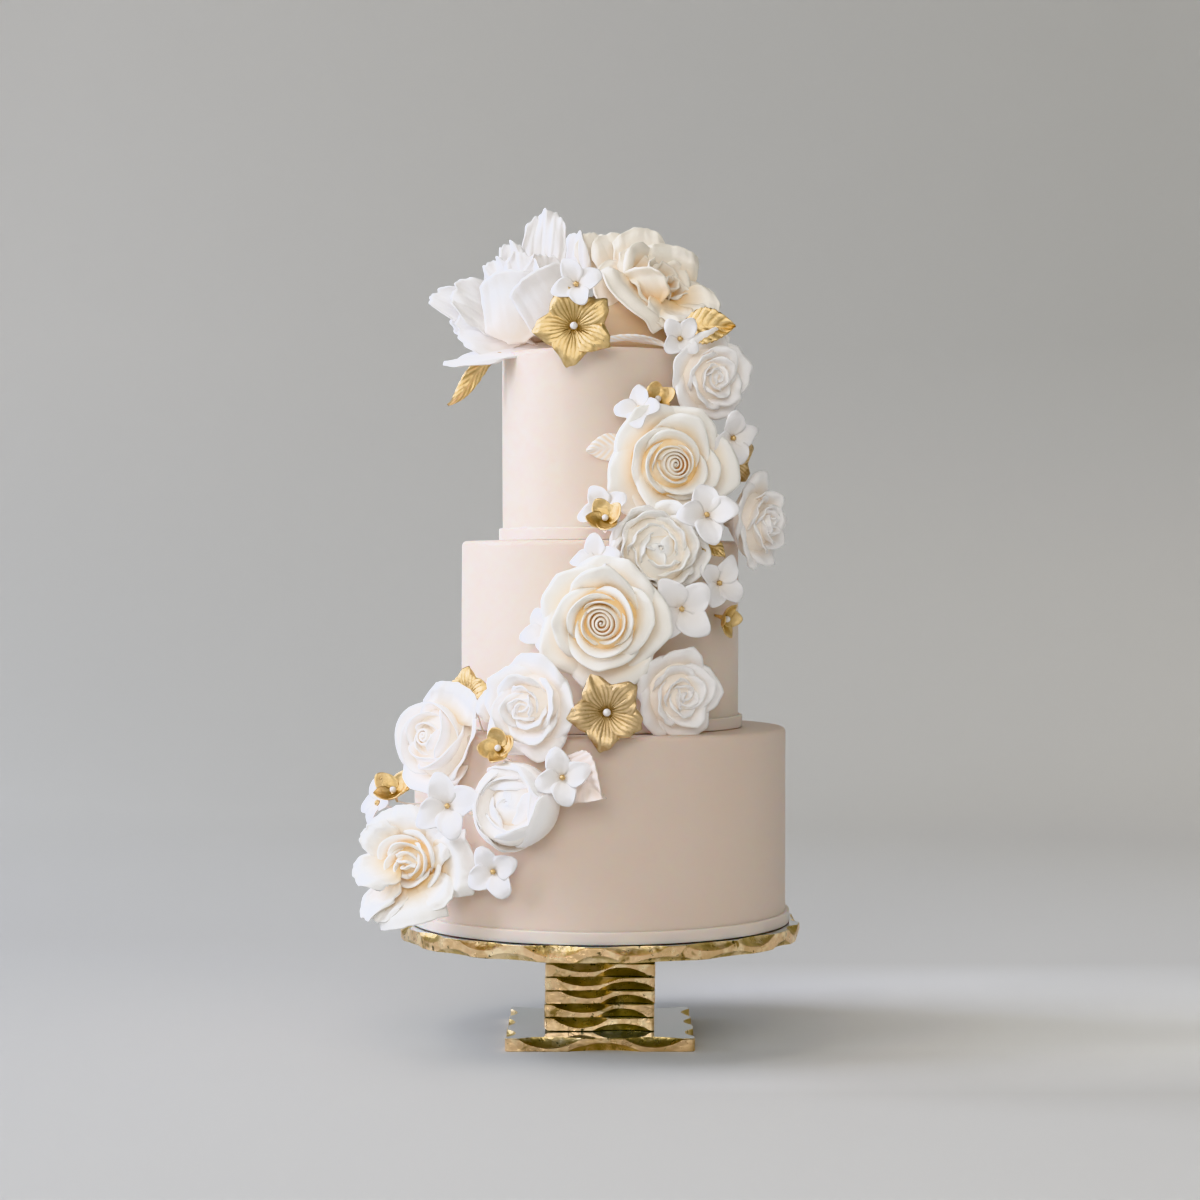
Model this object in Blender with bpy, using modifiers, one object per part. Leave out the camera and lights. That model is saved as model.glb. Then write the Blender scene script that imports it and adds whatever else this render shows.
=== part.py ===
"""Three-tier wedding cake with a cascade of sugar flowers, on a gilded glass slab stand.

Metres, +Z up. The origin is the centre of the stand's foot, on the table; the front is -Y.
Every flower is placed round its tier, so a change of tier size carries the cascade with it.
"""

import math
from collections import namedtuple

import bmesh
import bpy
from mathutils import Matrix, Vector

MM = 0.001
GAP = 0.3 * MM  # room left between pieces that touch
CARVE_GAP = 0.45 * MM  # room left where one flower is cut away behind another
WELD = 0.05 * MM  # merge distance of the turned shapes

# ---- stand: hand-chipped glass slabs with gilded edges ----
FOOT_SIDE = 107.0 * MM
FOOT_THICK = 7.4 * MM
SLAB_SIDE = 63.0 * MM
SLAB_THICKS = [7.7 * MM] * 5 + [6.3 * MM] * 2
PLATE_RADIUS = 115.7 * MM
PLATE_THICK = 8.5 * MM
PLATE_STEPS = 54
PLATE_SCOOPS = 18
# Height of each ring of an edge as a share of the thickness, and the share of the scoops' depth
# that is cut away there.
SLAB_RINGS = ((0.0, 1.0), (0.5, 0.45), (1.0, 0.12))
PLATE_RINGS = ((0.0, 1.0), (0.5, 0.5), (1.0, 0.25))
SCOOP_UNEVEN = 0.35  # how far the scoops wander along the edge, as a share of their width
SCOOP_BEAT = 2.3  # scoops from one wandering to the next
SCOOP_ROUND = 0.8  # power that rounds the scoops' bottoms

# ---- cake: radius and height of each tier, from the plate upwards ----
TIER_SIZES = {
    "bottom": (107.3 * MM, 112.2 * MM),
    "middle": (80.0 * MM, 107.2 * MM),
    "top": (56.4 * MM, 108.2 * MM),
}
TIER_EDGE = 3.5 * MM  # rounding of the top edge
TIER_STEPS = 36
BORDER_THICK = 2.0 * MM
BORDER_HEIGHT = 7.0 * MM
DOME_RADIUS = 36.0 * MM
DOME_HEIGHT = 31.0 * MM
DOME_PLACE = (8.0 * MM, -4.0 * MM)  # the dome stands a little off the cake's axis
DOME_RINGS = 4
DOME_STEPS = 24

# ---- colours ----
FONDANT = (0.87, 0.68, 0.57)
BORDER_ICING = (0.88, 0.76, 0.66)
WHITE_SUGAR = (0.90, 0.87, 0.83)
CREAM_SUGAR = (0.90, 0.83, 0.68)
GOLD = (0.78, 0.55, 0.22)
GLASS = (0.62, 0.72, 0.74)

# A flower's place: the tier that it hangs on, the turn round the cake from the front (towards
# +X), the lift above the tier's foot and the stand-off from its wall. Then its own radius, the
# turn and tilt of the way it faces, and its spin about that way. Millimetres and degrees.
Flower = namedtuple("Flower", "name kind tier turn lift stand radius face tilt spin")

FLOWERS = [
    # blossoms and gilt flowers stand in front, so they come first and stay whole
    Flower("blossom_01", "blossom4", "top", -11, 141, 12, 15, -8, 12, 20),
    Flower("blossom_02", "blossom4", "top", 40, 112, 13, 13, 10, 15, 45),
    Flower("blossom_03", "blossom4", "top", 18, 72, 15, 14, -25, 25, 5),
    Flower("blossom_04", "blossom4", "top", 55, 57, 34, 16, 30, -8, 15),
    Flower("blossom_05", "blossom4", "top", 36, 13, 43, 18, 8, 18, 8),
    Flower("blossom_06", "blossom4", "middle", 43, 83, 16, 15, 35, 5, 30),
    Flower("blossom_07", "blossom4", "middle", 26, 69, 21, 20, 10, 0, 40),
    Flower("blossom_08", "blossom4", "middle", -1, 96, 12, 14, -22, 25, 10),
    Flower("blossom_09", "blossom4", "top", 2, 16, 19, 15, -15, 20, 30),
    Flower("blossom_10", "blossom4", "middle", -19, 56, 10, 15, -40, 20, 25),
    Flower("blossom_11", "blossom4", "bottom", -38, 75, 26, 19, -12, 4, 20),
    Flower("blossom_12", "blossom4", "bottom", -9, 92, 20, 16, -4, 6, 15),
    Flower("blossom_13", "blossom4", "bottom", -30, 39, 8, 16, -20, -4, 30),
    Flower("blossom_14", "blossom4", "bottom", -68, 71, 27, 14, -55, 20, 45),
    Flower("blossom_15", "blossom4", "top", 146, 122, -4, 15, 150, 25, 10),
    Flower("gilt_flower_01", "gilt5", "top", -12, 118, 12, 21, -6, 4, 41),
    Flower("gilt_flower_02", "gilt5", "bottom", 1, 126, 6, 20, 2, 2, 26),
    Flower("gilt_flower_03", "gilt5", "bottom", -50, 132, -10, 15.5, -35, 15, 22),
    Flower("gilt_flower_04", "gilt5", "top", 61, 46, 26, 15, 45, -20, 0),
    Flower("gilt_cup_01", "gilt_cup", "bottom", -27, 106, 13, 10, -20, 25, 10),
    Flower("gilt_cup_02", "gilt_cup", "bottom", -63, 79, 22, 11, -15, 45, 50),
    Flower("gilt_cup_03", "gilt_cup", "top", 2, 11, 31, 10, -12, 30, 20),
    Flower("gilt_cup_04", "gilt_cup", "middle", 54, 63, 7, 9, 55, -15, 0),
    Flower("gilt_cup_05", "gilt_cup", "top", 30, 78, 8, 9, 10, 30, 15),
    # roses: each gives way to the flowers before it
    Flower("rose_middle", "rose", "middle", 1, 62, 17, 32, -4, -2, 0),
    Flower("rose_upper", "rose", "top", 31, 42, 19, 30, 12, -4, 20),
    Flower("rose_foot", "rose", "bottom", -53, 41, 20, 34, -20, 2, 40),
    Flower("ranunculus_high", "cupped", "middle", 21, 101, 6, 25, 12, 4, 0),
    Flower("ranunculus_low", "cupped", "bottom", -22, 76, 13, 23, -24, 12, 30),
    Flower("rose_high", "rose", "top", 53, 91, 20, 25, 30, -4, 10),
    Flower("rose_ledge", "rose", "bottom", -20, 128, 2, 28, -25, 0, 60),
    Flower("rose_left", "rose", "bottom", -53, 108, 5, 27, -40, 14, 15),
    Flower("rose_low_right", "rose", "middle", 27, 22, 12, 26, 28, -6, 50),
    Flower("rose_right", "rose", "middle", 73, 117, 13, 26, 60, 0, 35),
    Flower("garden_rose", "rose", "top", 98, 141, -27, 42, 40, 40, 0),
    Flower("peony", "peony", "top", -75, 115, -27, 51, -72, 45, 0),
    Flower("rose_side", "rose", "top", 100, 108, 8, 24, 100, 10, 25),
    Flower("rose_back", "rose", "top", 184, 122, -10, 27, 184, 34, 5),
]

# Leaves: place of the stalk end as for a flower, then length and width, the turn and tilt of the
# way that the leaf runs, the roll about that way, and its sideways bend over the length.
Leaf = namedtuple("Leaf", "name tint tier turn lift stand length width face tilt roll bend")

LEAVES = [
    Leaf("gilt_leaf_01", "gilt", "top", 44, 117, 5, 34, 21, 82, 4, 68, 3),
    Leaf("gilt_leaf_02", "gilt", "top", -72, 105, 3, 41, 12, -90, -44, 40, 6),
    Leaf("gilt_leaf_03", "gilt", "middle", 38, 106, 8, 18, 12, 70, -30, 40, 2),
    Leaf("sugar_leaf_01", "sugar", "top", 17, 53, 5, 26, 15, -78, -8, 80, 2),
    Leaf("sugar_leaf_02", "sugar", "bottom", -9, 102, 4, 37, 28, 42, -34, 84, 3),
    Leaf("sugar_leaf_03", "sugar", "top", 39, 109, 2, 34, 13, -76, 4, 10, 2),
]

# Rings of each flower form, from the stalk outwards and back in to the heart:
# radius and height as parts of the flower's radius, depth of the petal lobes, lobe shift.
FORMS = {
    "rose": {
        "tips": (-0.78, 0.46),
        "lobes": 5,
        "steps": 15,
        "rings": [
            (0.93, -0.10, 0.09, 0.0),
            (1.00, 0.05, 0.10, 0.0),
            (0.70, 0.06, 0.03, 0.5),
            (0.66, 0.33, 0.09, 0.5),
            (0.33, 0.27, 0.04, 0.0),
            (0.27, 0.54, 0.05, 0.0),
        ],
    },
    "cupped": {
        "tips": (-0.95, 0.34),
        "lobes": 5,
        "steps": 15,
        "rings": [
            (0.95, -0.22, 0.02, 0.0),
            (0.98, 0.15, 0.04, 0.5),
            (0.72, 0.55, 0.07, 0.5),
            (0.52, 0.60, 0.10, 0.0),
            (0.40, 0.36, 0.05, 0.0),
        ],
    },
    "peony": {
        "tips": (-0.14, 0.42),
        "lobes": 6,
        "steps": 18,
        "rings": [
            (0.72, 0.28, 0.06, 0.0),
            (1.00, 0.96, 0.14, 0.0),
            (0.93, 0.99, 0.14, 0.0),
            (0.66, 0.50, 0.05, 0.5),
            (0.58, 0.78, 0.12, 0.5),
            (0.26, 0.56, 0.05, 0.0),
        ],
    },
}
# Rings of a flat flower, from its stalk round the petals' tips and back in:
# radius as part of the flower's, height in petal thicknesses.
FLAT_RINGS = [(0.18, -1.25), (0.96, -0.6), (1.0, 0.3), (0.5, 0.0)]
STALK_SHARE = 0.3  # rings inside this share of the radius are round
WAIST = 0.36  # radius between two petals, as a share of the flower's
BACK_TAPER = 9.0 * MM  # length of the stalk taper behind a flat flower
PETAL_THICK = 1.5 * MM
LEAF_THICK = 1.1 * MM


def clear_scene():
    for obj in list(bpy.data.objects):
        bpy.data.objects.remove(obj, do_unlink=True)


def make_collection(name):
    collection = bpy.data.collections.new(name)
    bpy.context.scene.collection.children.link(collection)
    return collection


def make_material(name, colour, roughness, metallic=0.0):
    material = bpy.data.materials.new(name)
    material.use_nodes = True
    shader = material.node_tree.nodes["Principled BSDF"]
    shader.inputs["Base Color"].default_value = (*colour, 1.0)
    shader.inputs["Roughness"].default_value = roughness
    shader.inputs["Metallic"].default_value = metallic
    return material


def link_object(name, mesh, material):
    obj = bpy.data.objects.new(name, mesh)
    PARTS.objects.link(obj)
    mesh.materials.append(material)
    return obj


def object_from(name, bm, material):
    """Object made of a bmesh, with flat triangles so that a cut through it stays exact."""
    bmesh.ops.recalc_face_normals(bm, faces=bm.faces)
    bmesh.ops.triangulate(bm, faces=bm.faces)
    mesh = bpy.data.meshes.new(name)
    bm.to_mesh(mesh)
    bm.free()
    return link_object(name, mesh, material)


def turned(name, profile, steps, material):
    """Screw of a profile of (radius, height) points, listed top to bottom down the outer side."""
    bm = bmesh.new()
    corners = [bm.verts.new((radius, 0, height)) for radius, height in profile]
    for upper, lower in zip(corners, corners[1:]):
        bm.edges.new((upper, lower))
    mesh = bpy.data.meshes.new(name)
    bm.to_mesh(mesh)
    bm.free()
    obj = link_object(name, mesh, material)
    screw = obj.modifiers.new("turn", "SCREW")
    screw.axis = "Z"
    screw.steps = steps
    screw.render_steps = steps
    screw.use_merge_vertices = True
    screw.merge_threshold = WELD
    return obj


def skin(bm, rings, first_tip, last_tip):
    """Side faces between equal rings of points, and a fan to the tip at each end."""
    rows = [[bm.verts.new(point) for point in ring] for ring in rings]
    count = len(rows[0])
    for row, after in zip(rows, rows[1:]):
        for i in range(count):
            j = (i + 1) % count
            bm.faces.new((row[i], row[j], after[j], after[i]))
    for tip, row in ((first_tip, rows[0]), (last_tip, rows[-1])):
        end = bm.verts.new(tip)
        for i in range(count):
            bm.faces.new((end, row[i], row[(i + 1) % count]))


# ---- stand ----


def scoop(place, wave, shift):
    """Depth, 0 to 1, of the hand-chipped scoops along an edge; their widths are uneven."""
    uneven = place + SCOOP_UNEVEN * wave * math.sin(2 * math.pi * place / (SCOOP_BEAT * wave) + shift)
    return abs(math.sin(math.pi * uneven / wave + shift)) ** SCOOP_ROUND


def square_outline(side, steps_per_side):
    """Points round a square, corner first, each with the distance run so far and its corner share."""
    half = side / 2
    corners = [(-half, -half), (half, -half), (half, half), (-half, half)]
    points = []
    for k, (x0, y0) in enumerate(corners):
        x1, y1 = corners[(k + 1) % 4]
        for i in range(steps_per_side):
            t = i / steps_per_side
            points.append((x0 + (x1 - x0) * t, y0 + (y1 - y0) * t, (k + t) * side, t))
    return points


def chipped_slab(name, side, thick, low, steps_per_side, wave, depth, shift):
    """Square slab whose sides are scooped, deepest at the lower edge."""
    rings = []
    for height, share in SLAB_RINGS:
        ring = []
        for x, y, run, t in square_outline(side, steps_per_side):
            inset = depth * share * scoop(run, wave, shift) * math.sin(math.pi * t) ** 0.5
            factor = 1 - inset / (side / 2)
            ring.append(Vector((x * factor, y * factor, low + thick * height)))
        rings.append(ring)
    bm = bmesh.new()
    skin(bm, rings, Vector((0, 0, low)), Vector((0, 0, low + thick)))
    return object_from(name, bm, MATERIALS["glass"])


def chipped_plate(name, radius, thick, low, steps, scoops, depth):
    """Round plate whose rim is scooped, deepest at the lower edge."""
    rings = []
    wave = 2 * math.pi / scoops
    for height, share in PLATE_RINGS:
        ring = []
        for i in range(steps):
            turn = 2 * math.pi * i / steps
            inset = depth * share * abs(math.sin(math.pi * turn / wave)) ** SCOOP_ROUND
            reach = radius - inset
            ring.append(Vector((reach * math.cos(turn), reach * math.sin(turn), low + thick * height)))
        rings.append(ring)
    bm = bmesh.new()
    skin(bm, rings, Vector((0, 0, low)), Vector((0, 0, low + thick)))
    return object_from(name, bm, MATERIALS["glass"])


def build_stand():
    """Foot, column of slabs and plate. Returns the height of the plate's top."""
    chipped_slab(
        "stand_foot",
        FOOT_SIDE,
        FOOT_THICK,
        low=0.0,
        steps_per_side=8,
        wave=31 * MM,
        depth=5.0 * MM,
        shift=0.9,
    )
    height = FOOT_THICK
    for i, thick in enumerate(SLAB_THICKS):
        name = f"stand_slab_{i + 1}"
        chipped_slab(
            name,
            SLAB_SIDE,
            thick - GAP,
            low=height + GAP,
            steps_per_side=5,
            wave=24 * MM,
            depth=4.0 * MM,
            shift=0.8 * i,
        )
        height += thick
    height += GAP
    chipped_plate(
        "stand_plate",
        PLATE_RADIUS,
        PLATE_THICK,
        low=height,
        steps=PLATE_STEPS,
        scoops=PLATE_SCOOPS,
        depth=3.0 * MM,
    )
    return height + PLATE_THICK


# ---- cake ----


def build_tier(name, radius, height, low):
    """One fondant-covered tier, its top edge rounded, and the icing border round its foot."""
    top = low + height
    turned(
        f"tier_{name}",
        [
            (0.0, top),
            (radius - TIER_EDGE, top),
            (radius - 0.3 * TIER_EDGE, top - 0.3 * TIER_EDGE),
            (radius, top - TIER_EDGE),
            (radius, low),
            (0.0, low),
        ],
        TIER_STEPS,
        MATERIALS["fondant"],
    )
    inner = radius + GAP
    outer = inner + BORDER_THICK
    brim = low + BORDER_HEIGHT
    turned(
        f"border_{name}",
        [(inner, brim), (outer, brim), (outer, low), (inner, low), (inner, brim)],
        TIER_STEPS,
        MATERIALS["border"],
    )


def build_cake(plate_top):
    """The three tiers and the dome that holds the top flowers. Returns the tiers' feet and the dome."""
    feet = {}
    low = plate_top + GAP
    for name, (radius, height) in TIER_SIZES.items():
        feet[name] = low
        build_tier(name, radius, height - GAP, low)
        low += height
    profile = []
    for i in range(DOME_RINGS + 1):
        angle = math.pi / 2 * (1 - i / DOME_RINGS)
        profile.append((DOME_RADIUS * math.cos(angle), DOME_HEIGHT * math.sin(angle)))
    profile[0] = (0.0, DOME_HEIGHT)
    profile.append((0.0, 0.0))
    dome = turned("dome", profile, DOME_STEPS, MATERIALS["fondant"])
    dome.location = (*DOME_PLACE, low)
    bake(dome)
    return feet, dome


def build_keep_out(plate_top, feet):
    """Cutter with the outline of plate, tiers and borders, a gap larger all round."""
    rise = CARVE_GAP
    profile = [(0.0, feet["top"] + TIER_SIZES["top"][1] + rise)]
    for name in ("top", "middle", "bottom"):
        radius, height = TIER_SIZES[name]
        low, high = feet[name], feet[name] + height
        outside = radius + BORDER_THICK + GAP + rise
        profile.append((radius + rise - TIER_EDGE, high + rise))
        profile.append((radius + rise - 0.3 * TIER_EDGE, high + rise - 0.3 * TIER_EDGE))
        profile.append((radius + rise, high + rise - TIER_EDGE))
        profile.append((radius + rise, low + BORDER_HEIGHT + rise))
        profile.append((outside, low + BORDER_HEIGHT + rise))
        profile.append((outside, low + rise))
    profile.append((PLATE_RADIUS + rise, plate_top + rise))
    profile.append((PLATE_RADIUS + rise, plate_top - PLATE_THICK))
    profile.append((0.0, plate_top - PLATE_THICK))
    cutter = turned("keep_out", profile, TIER_STEPS, MATERIALS["fondant"])
    hide_cutter(cutter)
    return cutter


# ---- flowers ----


def lobe(angle, count, shift):
    """1 at the middle of a petal and 0 between two petals."""
    return abs(math.cos(count * (angle + shift * 2 * math.pi / count) / 2))


def layered_flower(bm, kind, radius):
    """Rose, cupped ranunculus or open peony: lobed rings that step in towards the heart."""
    form = FORMS[kind]
    rings = []
    for reach, height, depth, shift in form["rings"]:
        ring = []
        for i in range(form["steps"]):
            angle = 2 * math.pi * i / form["steps"]
            part = lobe(angle, form["lobes"], shift) - 0.5
            out = radius * reach * (1 + 2 * depth * part)
            rise = radius * (height + depth * part)
            ring.append(Vector((out * math.cos(angle), out * math.sin(angle), rise)))
        rings.append(ring)
    first, last = form["tips"]
    skin(bm, rings, Vector((0, 0, first * radius)), Vector((0, 0, last * radius)))


def flat_flower(bm, petals, radius, cup, point):
    """Blossom or gilt flower: a thin star of petals, raised by cup at the tips, on a short stalk."""
    steps = petals * 4
    rings = []
    for reach, height in FLAT_RINGS:
        ring = []
        for i in range(steps):
            angle = 2 * math.pi * i / steps
            petal = lobe(angle, petals, 0.0)
            out = radius * reach * (1 if reach < STALK_SHARE else WAIST + (1 - WAIST) * petal**point)
            rise = height * PETAL_THICK + cup * (out / radius) ** 2
            ring.append(Vector((out * math.cos(angle), out * math.sin(angle), rise)))
        rings.append(ring)
    skin(bm, rings, Vector((0, 0, -BACK_TAPER)), Vector((0, 0, 0.6 * MM)))


FLAT_KINDS = {
    "blossom4": (4, 3.0 * MM, 0.55, "white"),
    "gilt5": (5, 4.0 * MM, 1.15, "gilt"),
    "gilt_cup": (4, 7.0 * MM, 0.55, "gilt"),
}
CREAM_FLOWERS = {"rose_middle", "rose_upper", "rose_foot", "garden_rose"}


def place_of(item, feet):
    """The point that a flower or leaf is placed at."""
    radius, _ = TIER_SIZES[item.tier]
    reach = radius + item.stand * MM
    turn = math.radians(item.turn)
    return Vector((reach * math.sin(turn), -reach * math.cos(turn), feet[item.tier] + item.lift * MM))


def facing(turn, tilt):
    """Unit vector that points turn degrees round from the front and tilt degrees up."""
    turn, tilt = math.radians(turn), math.radians(tilt)
    return Vector((math.sin(turn) * math.cos(tilt), -math.cos(turn) * math.cos(tilt), math.sin(tilt)))


def build_flower(flower, feet):
    bm = bmesh.new()
    radius = flower.radius * MM
    if flower.kind in FLAT_KINDS:
        petals, cup, point, tint = FLAT_KINDS[flower.kind]
        flat_flower(bm, petals, radius, cup, point)
    else:
        layered_flower(bm, flower.kind, radius)
        tint = "cream" if flower.name in CREAM_FLOWERS else "white"
    obj = object_from(flower.name, bm, MATERIALS[tint])
    aim = facing(flower.face, flower.tilt).to_track_quat("Z", "Y")
    obj.rotation_mode = "QUATERNION"
    obj.rotation_quaternion = aim @ Matrix.Rotation(math.radians(flower.spin), 4, "Z").to_quaternion()
    obj.location = place_of(flower, feet)
    return obj


def build_leaf(leaf, feet):
    """Pointed leaf, folded a little along its midrib, as a surface made solid."""
    rows, half_columns = 6, 1
    length, width = leaf.length * MM, leaf.width * MM
    bm = bmesh.new()
    grid = []
    for i in range(rows + 1):
        along = i / rows
        half = width / 2 * max(math.sin(math.pi * along**0.8), 0.07)
        bend = leaf.bend * MM * math.sin(math.pi * along)
        row = []
        for j in range(-half_columns, half_columns + 1):
            across = j / half_columns
            row.append(bm.verts.new((length * along, half * across, bend + 0.22 * half * abs(across))))
        grid.append(row)
    for row, after in zip(grid, grid[1:]):
        for j in range(2 * half_columns):
            bm.faces.new((row[j], after[j], after[j + 1], row[j + 1]))
    mesh = bpy.data.meshes.new(leaf.name)
    bm.to_mesh(mesh)
    bm.free()
    obj = link_object(leaf.name, mesh, MATERIALS["gilt" if leaf.tint == "gilt" else "white"])
    solidify = obj.modifiers.new("thickness", "SOLIDIFY")
    solidify.thickness = LEAF_THICK
    solidify.offset = 0.0
    aim = facing(leaf.face, leaf.tilt).to_track_quat("X", "Z")
    obj.rotation_mode = "QUATERNION"
    obj.rotation_quaternion = aim @ Matrix.Rotation(math.radians(leaf.roll), 4, "X").to_quaternion()
    obj.location = place_of(leaf, feet)
    return obj


# ---- fitting the flowers to each other ----


def hide_cutter(obj):
    for collection in list(obj.users_collection):
        collection.objects.unlink(obj)
    CUTTERS.objects.link(obj)
    obj.hide_render = True
    obj.display_type = "WIRE"


def evaluated_mesh(obj):
    """The object's mesh as its modifiers leave it."""
    bpy.context.view_layer.update()
    graph = bpy.context.evaluated_depsgraph_get()
    return bpy.data.meshes.new_from_object(obj.evaluated_get(graph))


def bake(obj):
    """Makes the object's modifiers part of its mesh."""
    obj.data = evaluated_mesh(obj)
    obj.modifiers.clear()


def swollen(obj):
    """Cutter in the shape of obj, a gap larger all round."""
    mesh = obj.data.copy()
    bm = bmesh.new()
    bm.from_mesh(mesh)
    moved = [vert.co + vert.normal * CARVE_GAP for vert in bm.verts]
    for vert, point in zip(bm.verts, moved):
        vert.co = point
    bm.to_mesh(mesh)
    bm.free()
    cutter = bpy.data.objects.new(f"room_{obj.name}", mesh)
    cutter.matrix_world = obj.matrix_world
    CUTTERS.objects.link(cutter)
    cutter.hide_render = True
    cutter.display_type = "WIRE"
    return cutter


def keep_largest_island(mesh):
    """Removes the crumbs that a cut leaves beside the main body."""
    bm = bmesh.new()
    bm.from_mesh(mesh)
    islands, seen = [], set()
    for start in bm.verts:
        if start in seen:
            continue
        island, stack = [], [start]
        seen.add(start)
        while stack:
            vert = stack.pop()
            island.append(vert)
            for edge in vert.link_edges:
                other = edge.other_vert(vert)
                if other not in seen:
                    seen.add(other)
                    stack.append(other)
        islands.append(island)
    islands.sort(key=len)
    for island in islands[:-1]:
        bmesh.ops.delete(bm, geom=island, context="VERTS")
    bm.to_mesh(mesh)
    bm.free()


def reach_of(obj):
    """Radius of the ball round the object's own origin that holds it."""
    return max(vert.co.length for vert in obj.data.vertices)


def carve(obj, cutters):
    """Cuts obj back from each cutter that its own ball meets, and keeps the main body."""
    for cutter in cutters:
        cut = obj.modifiers.new("cut", "BOOLEAN")
        cut.operation = "DIFFERENCE"
        cut.solver = "EXACT"
        cut.object = cutter
    bake(obj)
    keep_largest_island(obj.data)


def build_cascade(feet, dome, keep_out):
    """Builds the flowers and leaves, each cut back from the cake and from those before it."""
    rooms = [(swollen(dome), dome.location.copy(), reach_of(dome))]
    for item in FLOWERS + LEAVES:
        obj = build_flower(item, feet) if isinstance(item, Flower) else build_leaf(item, feet)
        bake(obj)
        reach = reach_of(obj)
        near = [room for room, place, size in rooms if (place - obj.location).length < size + reach]
        carve(obj, [keep_out, *near])
        bpy.context.view_layer.update()
        rooms.append((swollen(obj), obj.location.copy(), reach))
    for room, _, _ in rooms:
        bpy.data.objects.remove(room, do_unlink=True)


def shade_round_pieces():
    for obj in PARTS.objects:
        obj.data.shade_smooth()
        obj.data.set_sharp_from_angle(angle=math.radians(38))


def main():
    plate_top = build_stand()
    feet, dome = build_cake(plate_top)
    keep_out = build_keep_out(plate_top, feet)
    build_cascade(feet, dome, keep_out)
    shade_round_pieces()


clear_scene()
PARTS = make_collection("tiered_wedding_cake")
CUTTERS = make_collection("cutters")
MATERIALS = {
    "fondant": make_material("fondant", FONDANT, 0.55),
    "border": make_material("border", BORDER_ICING, 0.5),
    "white": make_material("white_sugar", WHITE_SUGAR, 0.55),
    "cream": make_material("cream_sugar", CREAM_SUGAR, 0.55),
    "gilt": make_material("gilt_sugar", GOLD, 0.35, 1.0),
    "glass": make_material("gilded_glass", GLASS, 0.15),
}
main()
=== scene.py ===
"""Looks of the tiered wedding cake: fondant, sugar flowers, gilding and the gilded glass stand.

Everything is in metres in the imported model's frame: +Z up, front towards -Y. Flower forms are
given in parts of the flower's own radius, with the flower facing +Z.
"""

import math
import random
from collections import namedtuple

import bpy
import numpy as np
from mathutils import Matrix, Vector


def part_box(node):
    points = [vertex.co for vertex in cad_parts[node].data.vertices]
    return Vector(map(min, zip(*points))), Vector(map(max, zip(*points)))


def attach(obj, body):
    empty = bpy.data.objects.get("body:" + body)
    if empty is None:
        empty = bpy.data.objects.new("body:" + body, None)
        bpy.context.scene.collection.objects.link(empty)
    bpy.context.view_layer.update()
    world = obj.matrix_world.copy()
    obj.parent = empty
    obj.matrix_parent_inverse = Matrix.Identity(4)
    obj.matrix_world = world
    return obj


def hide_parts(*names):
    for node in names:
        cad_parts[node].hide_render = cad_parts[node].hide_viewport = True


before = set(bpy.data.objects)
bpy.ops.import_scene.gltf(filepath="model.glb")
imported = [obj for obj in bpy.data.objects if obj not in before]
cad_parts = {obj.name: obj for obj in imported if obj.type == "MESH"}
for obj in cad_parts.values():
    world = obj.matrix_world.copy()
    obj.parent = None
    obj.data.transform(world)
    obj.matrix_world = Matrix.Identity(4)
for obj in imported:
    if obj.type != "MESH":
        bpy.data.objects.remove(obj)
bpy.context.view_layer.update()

MM = 0.001
TIERS = {name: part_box(f"tier_{name}") for name in ("bottom", "middle", "top")}
FEET = {name: box[0][2] for name, box in TIERS.items()}
HEADS = {name: box[1][2] for name, box in TIERS.items()}
RADII = {name: (box[1][0] - box[0][0]) / 2 for name, box in TIERS.items()}

# ---- places ----

# A flower's place, in the CAD's terms: the tier that it hangs on, the turn round the cake from the
# front (towards +X), the lift above the tier's foot and the stand-off from its wall. Then its
# radius, the turn and tilt of the way it faces, and its spin. Millimetres and degrees.
Flower = namedtuple("Flower", "name kind tint tier turn lift stand radius face tilt spin seed")

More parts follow.
